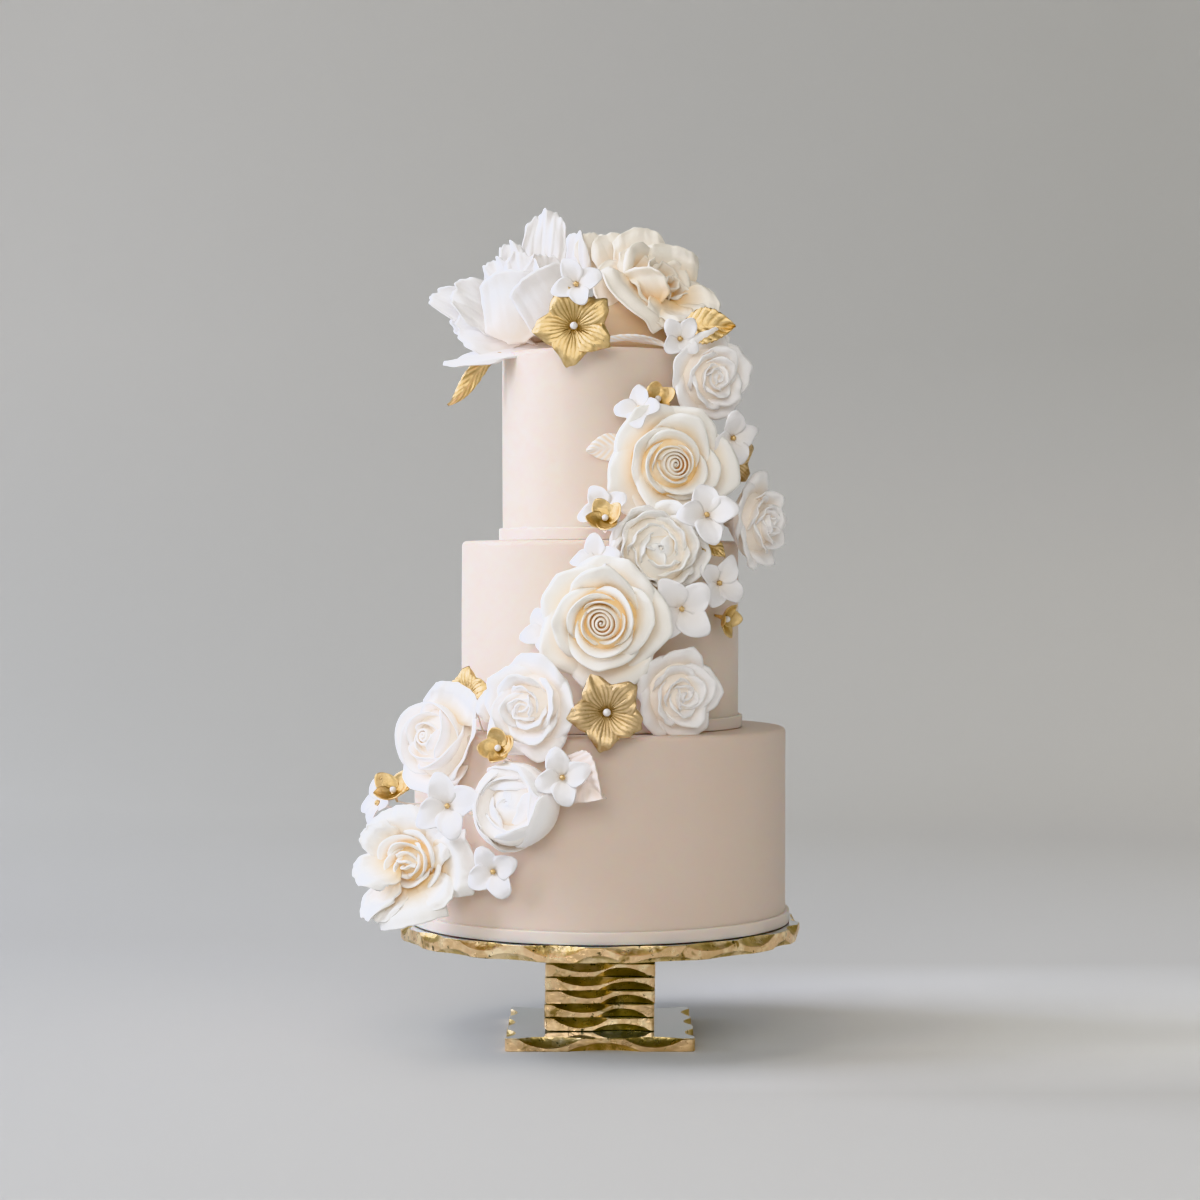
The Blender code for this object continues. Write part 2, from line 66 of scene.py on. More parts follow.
# The small flowers are numbered within their kind, and a row says the rest of each.
SMALL = {
    "blossom": [
        ("thin_shaded", "top", -11, 141, 12, 15, -8, 12, 20, 1),
        ("thin_shaded", "top", 40, 112, 13, 13, 10, 15, 45, 2),
        ("thin_shaded", "top", 18, 72, 15, 14, -25, 25, 5, 3),
        ("thin_shaded", "top", 55, 57, 34, 16, 30, -8, 15, 4),
        ("thin_shaded", "top", 36, 13, 43, 18, 8, 18, 8, 5),
        ("thin_shaded", "middle", 43, 83, 16, 16, 32, 5, 55, 6),
        ("thin_shaded", "middle", 26, 69, 21, 20, 10, 0, 40, 7),
        ("thin_shaded", "middle", -1, 96, 12, 14, -22, 25, 10, 8),
        ("thin_shaded", "top", 2, 16, 19, 15, -15, 20, 30, 9),
        ("thin_shaded", "middle", -19, 56, 10, 15, -40, 20, 25, 10),
        ("thin_shaded", "bottom", -38, 75, 26, 19, -12, 4, 20, 11),
        ("thin_shaded", "bottom", -9, 92, 20, 16, -4, 6, 15, 12),
        ("thin_shaded", "bottom", -30, 39, 8, 16, -20, -4, 30, 13),
        ("thin_shaded", "bottom", -70.5, 71, 25, 14, -55, 20, 10, 14),
        ("thin_shaded", "top", 146, 122, -4, 15, 150, 25, 10, 15),
    ],
    "gilt_flower": [
        ("gilt", "top", -12, 118, 12, 21, -6, 4, 41, 21),
        ("bronze_gilt", "bottom", 1.8, 126, 8, 19.5, 2, 2, 43, 22),
        ("gilt", "bottom", -50, 132, -10, 15.5, -35, 15, 22, 23),
        ("bronze_gilt", "top", 63, 44, 26, 16, 40, -10, 36, 24),
    ],
    "gilt_cup": [
        ("gilt", "bottom", -27, 106, 13, 10, -20, 25, 10, 25),
        ("gilt", "bottom", -63, 79, 22, 11, -15, 45, 50, 26),
        ("gilt", "top", 2, 11, 31, 10, -12, 30, 20, 27),
        ("gilt", "middle", 54, 63, 7, 9, 55, -15, 0, 28),
        ("gilt", "top", 30, 78, 8, 9, 10, 30, 15, 29),
    ],
}

# The large flowers, each with its own name.
LARGE = [
    ("rose_middle", "rose", "cream", "middle", 1, 62, 17, 32, -4, -2, 0, 31),
    ("rose_upper", "rose", "cream", "top", 31, 42, 19, 30, 12, -4, 20, 32),
    ("rose_foot", "draped", "ivory", "bottom", -53, 41, 20, 34, -20, 2, 40, 33),
    ("ranunculus_high", "ruffled", "milk", "middle", 21, 101, 6, 25, 12, 4, 0, 34),
    ("ranunculus_low", "cupped", "white", "bottom", -22, 76, 13, 25, -24, 12, 30, 35),
    ("rose_high", "loose_rose", "white", "top", 53, 91, 20, 25, 30, -4, 10, 36),
    ("rose_ledge", "loose_rose", "white", "bottom", -20, 128, 2, 28, -25, 0, 60, 37),
    ("rose_left", "bud_rose", "white", "bottom", -53, 108, 5, 27, -40, 14, 15, 38),
    ("rose_low_right", "loose_rose", "white", "middle", 27, 22, 12, 26, 28, -6, 50, 39),
    ("rose_right", "loose_rose", "white", "middle", 73, 117, 13, 26, 60, 0, 35, 40),
    ("garden_rose", "garden", "honey", "top", 98, 141, -27, 38, 45, 25, 0, 41),
    ("peony", "peony", "pale", "top", -75, 115, -27, 51, -72, 45, 0, 42),
    ("rose_side", "loose_rose", "white", "top", 100, 108, 8, 24, 100, 10, 25, 43),
    ("rose_back", "loose_rose", "white", "top", 184, 122, -10, 27, 184, 34, 5, 44),
]
FLOWERS = [
    Flower(f"{kind}_{number:02d}", kind, *row)
    for kind, rows in SMALL.items()
    for number, row in enumerate(rows, 1)
]
FLOWERS += [Flower(*row) for row in LARGE]

# A leaf's place is its stalk end; then length and width, the turn and tilt of the way it runs,
# the roll about that way, its sideways bend, its twist from stalk to tip and how toothed it is.
Leaf = namedtuple(
    "Leaf", "name tint tier turn lift stand length width face tilt roll bend twist teeth seed"
)

LEAVES = [Leaf(*row) for row in (
    ("gilt_leaf_01", "gilt", "top", 44, 117, 5, 34, 21, 82, 4, 68, 3, 10, 0.10, 51),
    ("gilt_leaf_02", "gilt", "top", -72, 107.5, 3, 43, 10, -90, -44, 40, 6, 70, 0.03, 52),
    ("gilt_leaf_03", "gilt", "middle", 38, 106, 8, 18, 12, 70, -30, 40, 2, 0, 0.06, 53),
    ("sugar_leaf_01", "white", "top", 17, 53, 5, 26, 15, -78, -8, 80, 2, 10, 0.03, 54),
    ("sugar_leaf_02", "blush", "bottom", -9, 102, 4, 37, 28, 42, -34, 84, 3, 0, 0.06, 55),
    ("sugar_leaf_03", "white", "top", 39, 109, 2, 34, 13, -76, 4, 10, 2, 0, 0.00, 56),
)]

# A loose petal of a large flower, in millimetres in the cake's own frame: its foot and tip, its
# width, the turn and tilt of the way its inner face looks, then how hollow it is across and how
# bowed along its length (hundredths of its width and length), the roll-back and waviness of its
# rim (millimetres), how much shorter its sides are and over how much of its length it widens
# (hundredths of the length).
Loose = namedtuple("Loose", "foot tip width face tilt hollow bow roll frill fall spread")

LOOSE = {
    "peony": [
        # the tall petals at the back of the peony
        ((-36, 3, 412), (-31, 6, 479), 25, -15, 5, 5, 2, 1.5, 1.5, 16, 50),
        ((-42, 0, 412), (-53, 2, 460), 18, -20, 0, 5, 2, 1, 1.5, 18, 50),
        ((-44, -4, 410), (-64, 0, 449), 21, -25, 5, 6, 2, 1, 1.4, 26, 50),
        ((-20, 8, 412), (-17, 14, 468), 28, -40, 10, 10, 4, 2, 1.2, 34, 60),
        ((-24, 14, 408), (-30, 34, 458), 32, -60, 20, 10, 6, 2, 1.5, 34, 60),
        ((-36, 12, 406), (-58, 34, 446), 32, -60, 40, 10, 6, 2, 1.5, 34, 60),
        # those that spread to the left
        ((-42, -4, 409), (-97, -6, 430), 25, -15, 20, 8, 3, 1, 1.6, 50, 60),
        ((-42, -12, 408), (-84, -16, 431), 28, -20, 25, 10, 4, 1, 1.5, 28, 60),
        ((-42, -12, 404), (-82, -14, 411), 32, -30, 15, 14, 4, 1.5, 1.5, 34, 60),
        ((-38, 6, 403), (-86, 18, 418), 34, -60, 50, 14, 8, 2, 1.6, 34, 60),
        ((-34, 16, 402), (-70, 44, 416), 34, -40, 50, 14, 8, 2, 1.6, 34, 60),
        ((-22, -17, 401), (-89, -24, 390), 24, -10, 66, 6, 3, 2, 1, 44, 60),
        # the inner petals and the two broad shells in front
        ((-38, -6, 406), (-47, -8, 453), 24, -20, 5, 12, 4, 1, 1.4, 24, 40),
        ((-30, -6, 408), (-34, -8, 452), 26, 15, 5, 12, 4, 1, 1.4, 30, 40),
        ((-47, -26, 399), (-52, -33, 440), 37, 165, 15, 13, 3, 2, 0.4, 20, 25),
        ((-16, -34, 402), (-38, -43, 438), 38, 175, 15, 14, 3, 2, 0.4, 14, 35),
    ],
    "garden_rose": [
        # the garden rose: tall petals behind its heart, with broad rolled rims
        ((8, 8, 428), (-7, 12, 467), 24, 10, 0, 6, 2, 2, 0.8, 24, 50),
        ((20, 6, 430), (5, 9, 467), 30, 25, -5, 8, 3, 3, 0.4, 24, 50),
        ((24, 4, 430), (23, 8, 470), 32, 15, -10, 10, 3, 3, 0.4, 24, 50),
        ((38, 8, 430), (43, 3, 458), 34, 10, -20, 14, 3, 7, 0.3, 16, 50),
        ((26, 0, 430), (17, -8, 455), 24, 45, 0, 22, 5, 4, 0.3, 24, 40),
        ((30, -16, 418), (20, -21, 443), 32, 135, 5, 20, 5, 3, 0.3, 24, 40),
        # its outer petals in front, whose rims sweep down to the right
        ((26, -4, 426), (-2, -20, 437), 38, 50, 20, 10, 5, 3, 0.3, 28, 40),
        ((32, -10, 426), (14, -42, 428), 52, 50, 45, 6, 5, 6, 0.3, 30, 40),
        ((40, -16, 424), (38, -40, 409), 26, 30, 55, 25, 6, 2, 0.3, 24, 40),
        ((36, -16, 422), (56, -38, 414), 32, 20, 50, 12, 8, 3, 0.5, 34, 60),
        ((40, -10, 424), (68, -18, 421), 34, 10, 40, 12, 8, 3, 0.5, 34, 60),
        ((38, 0, 426), (61, 2, 432), 30, 40, 40, 12, 8, 3, 0.5, 34, 60),
        ((36, 8, 426), (52, 24, 440), 36, 60, 40, 14, 10, 3, 0.8, 34, 60),
        ((24, 14, 422), (34, 40, 444), 36, 120, 40, 14, 10, 3, 0.8, 34, 60),
        ((12, 8, 420), (0, 28, 450), 36, 90, 30, 14, 10, 3, 0.8, 34, 60),
    ],
    "rose_foot": [
        # the petals that spread and hang round the heart of the rose at the cake's foot
        ((-104, -84, 97), (-102, -102, 78), 38, -20, 45, -10, -10, 2, 0.3, 20, 30),
        ((-108, -84, 98), (-122, -96, 80), 20, -40, 30, 10, 6, 2, 0.6, 40, 50),
        ((-112, -82, 104), (-131, -92, 82), 26, -55, 10, 12, 10, 3, 0.8, 46, 50),
        ((-110, -80, 110), (-134, -91, 105), 32, -50, 20, 10, 8, 4, 0.6, 30, 40),
        ((-110, -78, 116), (-130, -82, 126), 22, -40, 5, 12, 6, 3, 0.6, 34, 50),
        ((-107, -78, 114), (-114, -82, 139), 34, -15, -5, 10, 4, 4, 0.4, 24, 40),
        ((-100, -80, 112), (-88, -90, 129), 30, -35, 0, 14, 6, 3, 0.4, 30, 40),
        ((-94, -82, 107), (-74, -101, 111), 36, -60, -5, 16, 10, 8, 0.3, 16, 35),
        ((-99, -86, 100), (-83, -101, 92), 22, -30, 35, 12, 6, 3, 0.4, 30, 40),
    ],
    # petals of two white roses that half hide the gilt flower behind them
    "rose_left": [
        ((-83, -72, 186), (-77, -80, 206), 32, -30, 0, 16, 6, 3, 0.4, 26, 40),
    ],
    "rose_ledge": [
        ((-50, -88, 190), (-62, -91, 204), 24, -20, 10, 12, 6, 3, 0.3, 26, 40),
    ],
}

# How thick those petals are, in millimetres.
LOOSE_THICK = {"peony": 0.9, "garden_rose": 1.4, "rose_foot": 1.4, "rose_left": 1.1, "rose_ledge": 1.1}


def stance(flower):
    """The rotation from facing +Z to the way that a flower faces on the cake."""
    aim = facing(flower.face, flower.tilt).to_track_quat("Z", "Y")
    return aim @ Matrix.Rotation(math.radians(flower.spin), 4, "Z").to_quaternion()


def place_of(item):
    """The point that a flower or leaf is placed at."""
    reach = RADII[item.tier] + item.stand * MM
    turn = math.radians(item.turn)
    return Vector((reach * math.sin(turn), -reach * math.cos(turn), FEET[item.tier] + item.lift * MM))


def facing(turn, tilt):
    """Unit vector that points turn degrees round from the front and tilt degrees up."""
    turn, tilt = math.radians(turn), math.radians(tilt)
    return Vector((math.sin(turn) * math.cos(tilt), -math.cos(turn) * math.cos(tilt), math.sin(tilt)))


# ---- surfaces ----


def lattice(rows, columns):
    """The share of a petal's length at each row, and of its half width at each column."""
    return np.linspace(0, 1, rows)[:, None], np.linspace(-1, 1, columns)[None, :]


def smooth(x):
    """Smooth step from 0 to 1."""
    x = np.clip(x, 0.0, 1.0)
    return x * x * (3 - 2 * x)


def spline(points, per_span=24):
    """Dense smooth curve through points (Catmull-Rom)."""
    p = np.array(points, float)
    p = np.vstack([2 * p[0] - p[1], p, 2 * p[-1] - p[-2]])
    pieces = []
    t = np.linspace(0, 1, per_span + 1)[:-1, None]
    for a, b, c, d in zip(p, p[1:], p[2:], p[3:]):
        bend = (2 * a - 5 * b + 4 * c - d) * t**2 + (3 * b - a - 3 * c + d) * t**3
        pieces.append(0.5 * (2 * b + (c - a) * t + bend))
    return np.vstack([*pieces, p[-2]])


def turned(grid, angle):
    """The grid turned about Z."""
    c, s = math.cos(angle), math.sin(angle)
    turn = np.array([[c, s, 0], [-s, c, 0], [0, 0, 1]])
    return grid @ turn


def grid_normals(grid):
    """Unit normals of a grid of points."""
    along = np.gradient(grid, axis=0)
    across = np.gradient(grid, axis=1)
    normals = np.cross(along, across)
    return normals / np.maximum(np.linalg.norm(normals, axis=-1, keepdims=True), 1e-9)


def placed(name, data):
    """A new object in the scene."""
    obj = bpy.data.objects.new(name, data)
    bpy.context.scene.collection.objects.link(obj)
    return obj


# The corners of a face taken the other way round.
FLIPPED = [0, 3, 2, 1]


def quads(index):
    """The four corners of each cell in a grid of point numbers."""
    return np.stack([index[:-1, :-1], index[:-1, 1:], index[1:, 1:], index[1:, :-1]], axis=-1)


def rim_of(index):
    """The point numbers all the way round a grid."""
    return np.concatenate([index[0, :-1], index[:-1, -1], index[-1, :0:-1], index[:0:-1, 0]])


class Body:
    """Collects sheets and solids, in parts of a radius, that become one mesh object."""

    def __init__(self, radius=1.0):
        self.points, self.faces, self.depths, self.slots = [], [], [], []
        self.count = 0
        self.radius = radius

    def _add(self, points, faces, depth, slot=0):
        self.points.append(points.reshape(-1, 3))
        self.faces.append(faces.reshape(-1, 4) + self.count)
        self.depths.append(np.broadcast_to(depth, points.shape[:-1]).reshape(-1))
        self.slots.append(np.full(faces.size // 4, slot))
        self.count += points.size // 3

    def skin(self, grid, depth=0.0, slot=0):
        """A surface that is closed by itself, such as a bead."""
        index = np.arange(grid.size // 3).reshape(grid.shape[:2])
        self._add(grid, quads(index), depth, slot)

    def sheet(self, grid, thickness, depth=0.0):
        """A sheet with both faces and a rim, thinned towards its edge by the thickness array."""
        offset = grid_normals(grid) * (np.asarray(thickness) / 2)[..., None]
        both = np.stack([grid + offset, grid - offset])
        index = np.arange(both.size // 3).reshape(both.shape[:3])
        front, back = quads(index[0])[..., FLIPPED], quads(index[1])
        upper, lower = rim_of(index[0]), rim_of(index[1])
        rim = np.stack([upper, np.roll(upper, -1), np.roll(lower, -1), lower], axis=-1)
        faces = np.concatenate([front.reshape(-1, 4), back.reshape(-1, 4), rim])
        self._add(both, faces, np.broadcast_to(depth, grid.shape[:2]))

    def petal(self, grid, depth, thick, edge=0.6):
        """A sheet that thins towards its sides and tip; thick is in millimetres."""
        s, u = lattice(*grid.shape[:2])
        near = np.maximum(smooth((s - 0.8) / 0.2), smooth((np.abs(u) - 0.7) / 0.3))
        self.sheet(grid, thick * MM / self.radius * (1 - (1 - edge) * near), depth)

    def make(self, name, *materials):
        """The mesh object, with the depth of each point inside the flower as an attribute, which the sugar
        and gilt materials turn into painted shade.
        """
        mesh = bpy.data.meshes.new(name)
        points = np.concatenate(self.points) * self.radius
        mesh.from_pydata(points.tolist(), [], np.concatenate(self.faces).tolist())
        depth = mesh.attributes.new("depth", "FLOAT", "POINT")
        depth.data.foreach_set("value", np.concatenate(self.depths).astype(np.float32))
        mesh.polygons.foreach_set("material_index", np.concatenate(self.slots).astype(np.int32))
        for material in materials:
            mesh.materials.append(MATERIALS[material])
        mesh.validate()
        mesh.shade_smooth()
        return placed(name, mesh)


def lathe(profile, steps):
    """Grid of a (radius, height) profile turned about Z; the last column meets the first."""
    p = np.array(profile, float)
    angle = np.linspace(0, 2 * math.pi, steps + 1)
    ring = np.stack([np.cos(angle), np.sin(angle), 0 * angle], axis=-1)
    up = np.array([0.0, 0.0, 1.0])
    return p[:, 0, None, None] * ring[None] + p[:, 1, None, None] * up


def bead(body, height, size, rng, lumps=0.0):
    """Small ball over a flower's centre, size millimetres in radius, lumpy if lumps is not 0."""
    v = np.linspace(0, math.pi, 9)
    grid = lathe(np.stack([np.sin(v), -np.cos(v)], axis=-1), 14)
    angle = np.linspace(0, 2 * math.pi, 15)[None, :]
    round_noise = np.sin(5 * angle + rng.uniform(0, 6))
    noise = round_noise * np.sin(3 * v + rng.uniform(0, 6))[:, None] * np.sin(v)[:, None]
    grid = grid * (1 + lumps * noise)[..., None]
    body.skin(grid * (size * MM / body.radius) + np.array([0, 0, height]), 0.0, 1)


# ---- petals ----


def petal(
    profile, breadth, rng, rows=16, columns=15, foot=0.45, full=0.5, top=0.22, power=2.4, point=0.0,
    wrap=1.0, roll=60.0, part=0.28, middle=0.35, cup=0.03, spiral=0.04, ruffle=0.0, waves=3.0,
    wobble=0.02, lean=0.0,
):
    """Grid of one petal round +Z, and how deep in the flower each of its points is.

    profile is the petal's middle line as (radius, height), breadth half its width there.
    foot: width at the foot; full: share of the length at which it is full width; top: how much
    shorter the sides are; point: length of a small tip; wrap: how closely it follows the circle
    round the axis; roll: degrees that the rim turns back over the last part of the length;
    middle: share of that roll at the middle; cup: how far the sides turn back; spiral: how much
    further out one side is; ruffle, waves, wobble: waviness; lean: sideways skew.
    """
    line = spline(profile)
    steps = np.diff(line, axis=0)
    spans = np.hypot(steps[:, 0], steps[:, 1])
    run = np.concatenate([[0], np.cumsum(spans)])
    angles = np.unwrap(np.arctan2(steps[:, 1], steps[:, 0]))
    centres = (run[1:] + run[:-1]) / 2

    s, u = lattice(rows, columns)
    phase = rng.uniform(0, 2 * math.pi)
    skew = u + lean * (1 - u * u)
    reach = run[-1] * (1 - top * np.abs(skew) ** power + point * np.exp(-((u / 0.2) ** 2)))
    reach = reach * (1 + 0.03 * np.sin(3.1 * u + phase))
    y = s * reach
    back = roll * (middle + (1 - middle) * np.clip(np.abs(u) * 1.25, 0, 1) ** 1.5)
    back = back * (1 + 0.35 * np.sin(2.3 * u + 1.7 * phase))
    bend = np.radians(back) * smooth((y - (1 - part) * reach) / (part * reach)) ** 1.3
    slope = np.interp(y, centres, angles) - bend
    step = np.diff(y, axis=0)
    mean = (slope[1:] + slope[:-1]) / 2
    start = np.zeros((1, columns))
    r = line[0, 0] + np.vstack([start, np.cumsum(np.cos(mean) * step, axis=0)])
    z = line[0, 1] + np.vstack([start, np.cumsum(np.sin(mean) * step, axis=0)])

    width = foot + (1 - foot) * smooth(s / full) - 0.12 * smooth((s - 0.75) / 0.25)
    x = breadth * u * width
    shift = cup * smooth((np.abs(u) - 0.55) / 0.45) * smooth(s / 0.5)
    shift = shift + ruffle * s**3 * np.sin(waves * math.pi * u + phase) * (0.4 + 0.6 * np.abs(u))
    slow = np.sin(2.2 * u + 1.7 * s + phase) * s
    shift = shift + wobble * (slow + 0.6 * np.sin(4.1 * u - 3.2 * s + 2 * phase) * s**2)
    r = r + np.sin(slope) * shift + spiral * u
    z = z - np.cos(slope) * shift
    ring = np.maximum(r, 0.06) / wrap
    angle = np.clip(x / ring, -2.9, 2.9)
    grid = np.stack([r - ring * (1 - np.cos(angle)), ring * np.sin(angle), z], axis=-1)
    return grid, np.broadcast_to(1 - s, (rows, columns))


# A whorl of petals: how many, the middle line of each as (radius, height) in hundredths of the
# flower's radius, its breadth, and then what petal() takes under the same names. A row of the
# tables below may leave out the last of these.
Whorl = namedtuple(
    "Whorl",
    "petals line breadth roll part spiral top middle ruffle point wrap foot wobble",
    defaults=(0.22, 0.35, 0.0, 0.0, 1.0, 0.45, 0.02),
)


def shares(line):
    """Points given in hundredths as shares of one."""
    return [(r / 100, z / 100) for r, z in line]


def add_whorls(body, rng, whorls, thick):
    """Whorls of petals round +Z, each petal a little unlike the next."""
    start = rng.uniform(0, 2 * math.pi)
    for whorl in (Whorl(*row) for row in whorls):
        start += rng.uniform(0.5, 1.1)
        for k in range(whorl.petals):
            stretch = rng.uniform(0.93, 1.09) - 1
            last = len(whorl.line) - 1
            profile = [
                (r * (1 + stretch * i / last), z + rng.uniform(-0.015, 0.015))
                for i, (r, z) in enumerate(shares(whorl.line))
            ]
            options = dict(zip(Whorl._fields[3:], whorl[3:]))
            options["roll"] = options["roll"] * rng.uniform(0.7, 1.25)
            options["lean"] = rng.uniform(-0.2, 0.2)
            grid, depth = petal(profile, whorl.breadth * rng.uniform(0.92, 1.1), rng, **options)
            angle = start + 2 * math.pi * k / whorl.petals + rng.uniform(-0.1, 0.1)
            body.petal(turned(grid, angle), depth, thick)


def spiral_bud(body, rng, turns, reach, top=0.50, low=0.10):
    """Tight spiral at a rose's heart: each wrap leans in over the next."""
    t = np.linspace(0.07, 1, int(turns * 22))[None, :]
    v = np.linspace(0, 1, 7)[:, None]
    angle = t * turns * 2 * math.pi
    phase = rng.uniform(0, 2 * math.pi)
    pitch = reach / turns
    r = reach * t * (1 + 0.05 * np.sin(1.86 * angle + phase)) + pitch * (0.35 - 0.7 * v**2)
    rim = top - 0.03 * t + 0.02 * np.sin(0.77 * angle + phase)
    z = low + (rim - low) * v
    grid = np.stack([r * np.cos(angle), r * np.sin(angle), z], axis=-1)
    thick = np.broadcast_to(1.3 * MM / body.radius * (1 - 0.3 * v**4), grid.shape[:2])
    body.sheet(grid, thick, 0.3 + 0.7 * (1 - v) + 0 * t)


# How deep in the flower its back counts as, so that its painted shade is slight and it looks paler.
BACK_DEPTH = 0.25


def core(body, profile, depth):
    """Paste cone that the petals are stuck to; it closes the gaps between them from below."""
    r, z = profile[-1]
    front = [(0.0, profile[0][1]), *profile]
    back = [(0.98 * r, z - 0.03), (0.2, -0.6), (0.0, -0.62)]
    depths = np.array([depth] * len(front) + [BACK_DEPTH] * len(back))[:, None]
    body.skin(lathe(front + back, 24)[::-1], depths[::-1])


def calyx(body, width, depth, rise):
    """Cone behind a flower, from its petals' feet down to the stalk."""
    waist = (0.55 * width, 0.5 * (rise - depth))
    head = [(0.0, rise), (0.7 * width, rise), (width, rise - 0.08)]
    stalk = [(0.05, -depth), (0.0, -depth)]
    body.skin(lathe([*head, waist, *stalk], 16)[::-1], BACK_DEPTH)


# ---- flowers ----

ROSE_WHORLS = [
    (3, [(16, -10), (28, 14), (33, 36), (34, 52)], 0.42, 15, 0.2, 0.05, 0.3, 0.3),
    (3, [(18, -20), (40, 0), (49, 28), (58, 50)], 0.66, 45, 0.2, 0.06, 0.26, 0.3, 0, 0.03),
    (4, [(20, -28), (48, -6), (64, 20), (82, 38)], 0.74, 50, 0.2, 0.07, 0.22, 0.35, 0.02, 0.06, 0.85),
    (5, [(20, -38), (56, -20), (86, 0), (116, 12)], 0.84, 50, 0.22, 0.06, 0.22, 0.35, 0.035, 0.07, 0.7),
]
LOOSE_ROSE_WHORLS = [
    (2, [(2, 0), (7, 18), (9, 36), (8, 48)], 0.20, 10, 0.3, 0.04, 0.2, 0.6),
    (3, [(6, -5), (17, 18), (21, 36), (22, 50)], 0.32, 20, 0.25, 0.05, 0.3, 0.4, 0.02),
    (3, [(14, -10), (28, 14), (36, 34), (42, 50)], 0.48, 40, 0.22, 0.07, 0.28, 0.3, 0.03, 0.04),
    (4, [(18, -25), (40, -2), (54, 24), (68, 42)], 0.62, 50, 0.2, 0.07, 0.22, 0.35, 0.04, 0.06, 0.9),
    (5, [(20, -38), (50, -16), (76, 6), (102, 20)], 0.76, 60, 0.24, 0.06, 0.22, 0.35, 0.05, 0.07, 0.75),
]
GARDEN_WHORLS = [
    (2, [(2, 10), (10, 28), (12, 42), (10, 54)], 0.22, 10, 0.3, 0.04, 0.22, 0.8, 0.03),
    (3, [(8, 0), (20, 24), (24, 42), (26, 56)], 0.32, 25, 0.25, 0.06, 0.22, 0.35, 0.04),
    (3, [(14, -10), (32, 16), (40, 38), (46, 54)], 0.46, 45, 0.25, 0.07, 0.22, 0.35, 0.05),
    (4, [(16, -20), (42, 4), (56, 30), (70, 46)], 0.60, 60, 0.25, 0.07, 0.22, 0.35, 0.05, 0, 0.9),
]
HEART_WHORLS = [
    (2, [(2, 5), (6, 22), (8, 38), (7, 48)], 0.16, 10, 0.3, 0.03, 0.2, 0.6),
    (3, [(5, 0), (15, 20), (19, 36), (20, 46)], 0.28, 25, 0.25, 0.05, 0.3, 0.4),
    (4, [(12, -5), (26, 14), (33, 32), (36, 43)], 0.38, 35, 0.22, 0.06, 0.28, 0.3),
    (4, [(18, -10), (36, 6), (44, 24), (50, 34)], 0.50, 45, 0.22, 0.06, 0.26, 0.3),
]
BUD_WHORLS = [
    (3, [(14, -10), (26, 16), (28, 38), (24, 52)], 0.38, 5, 0.2, 0.05, 0.3, 0.5),
    (3, [(18, -20), (43, 2), (50, 30), (46, 50)], 0.66, 12, 0.15, 0.06, 0.3, 0.5),
    (3, [(20, -30), (57, -8), (70, 20), (70, 43)], 0.88, 30, 0.15, 0.06, 0.26),
    (4, [(20, -40), (64, -20), (90, 4), (103, 24)], 0.90, 45, 0.2, 0.06, 0.22, 0.35, 0.03, 0, 0.75),
]
CUP_WHORLS = [
    (3, [(42, 0), (46, 22), (30, 38), (2, 42)], 0.40, 0, 0.28, 0.05, 0.3, 0.35, 0, 0, 1, 0.8, 0.03),
    (3, [(40, -30), (52, 6), (48, 34), (30, 48)], 0.52, 0, 0.28, 0.07, 0.3, 0.35, 0, 0.05, 1, 0.7),
    (3, [(5, -60), (52, -35), (66, 2), (62, 32), (54, 54)], 0.80, 15, 0.1, 0.07, 0.26),
    (3, [(5, -78), (62, -50), (82, -6), (78, 34), (66, 60)], 0.98, 15, 0.1, 0.06, 0.24, 0.35, 0, 0.03),
    (3, [(5, -82), (67, -54), (90, -8), (86, 30), (71, 57)], 1.02, 12, 0.1, 0.05, 0.3, 0.35, 0.02),
]
RUFFLED_WHORLS = [
    (3, [(30, 10), (34, 26), (22, 40), (4, 46)], 0.34, 0, 0.28, 0.06, 0.3, 0.35, 0, 0, 1, 0.8, 0.04),
    (3, [(30, -10), (42, 12), (42, 34), (36, 50)], 0.46, 15, 0.15, 0.08, 0.3, 0.35, 0.03, 0, 1, 0.7),
    (4, [(10, -40), (48, -10), (58, 20), (60, 50)], 0.60, 25, 0.12, 0.08, 0.26, 0.35, 0.04),
    (4, [(10, -60), (58, -30), (76, 6), (82, 44)], 0.76, 40, 0.15, 0.08, 0.24, 0.35, 0.05),
    (5, [(10, -70), (64, -44), (92, -4), (106, 28)], 0.80, 60, 0.2, 0.07, 0.26, 0.35, 0.07),
]
PEONY_WHORLS = [
    (3, [(3, 0), (10, 20), (14, 42), (12, 60)], 0.22, 15),
    (4, [(5, -2), (18, 20), (28, 44), (32, 68)], 0.30, 20),
]


# A large flower: its whorls, how thick its petals are in millimetres, the turns and reach of its
# spiral bud, the cone under its petals (in hundredths) with how deep in the flower that counts as
# for its painted shade, and the depth and rise of its calyx.
Form = namedtuple("Form", "whorls thick bud cone depth calyx")

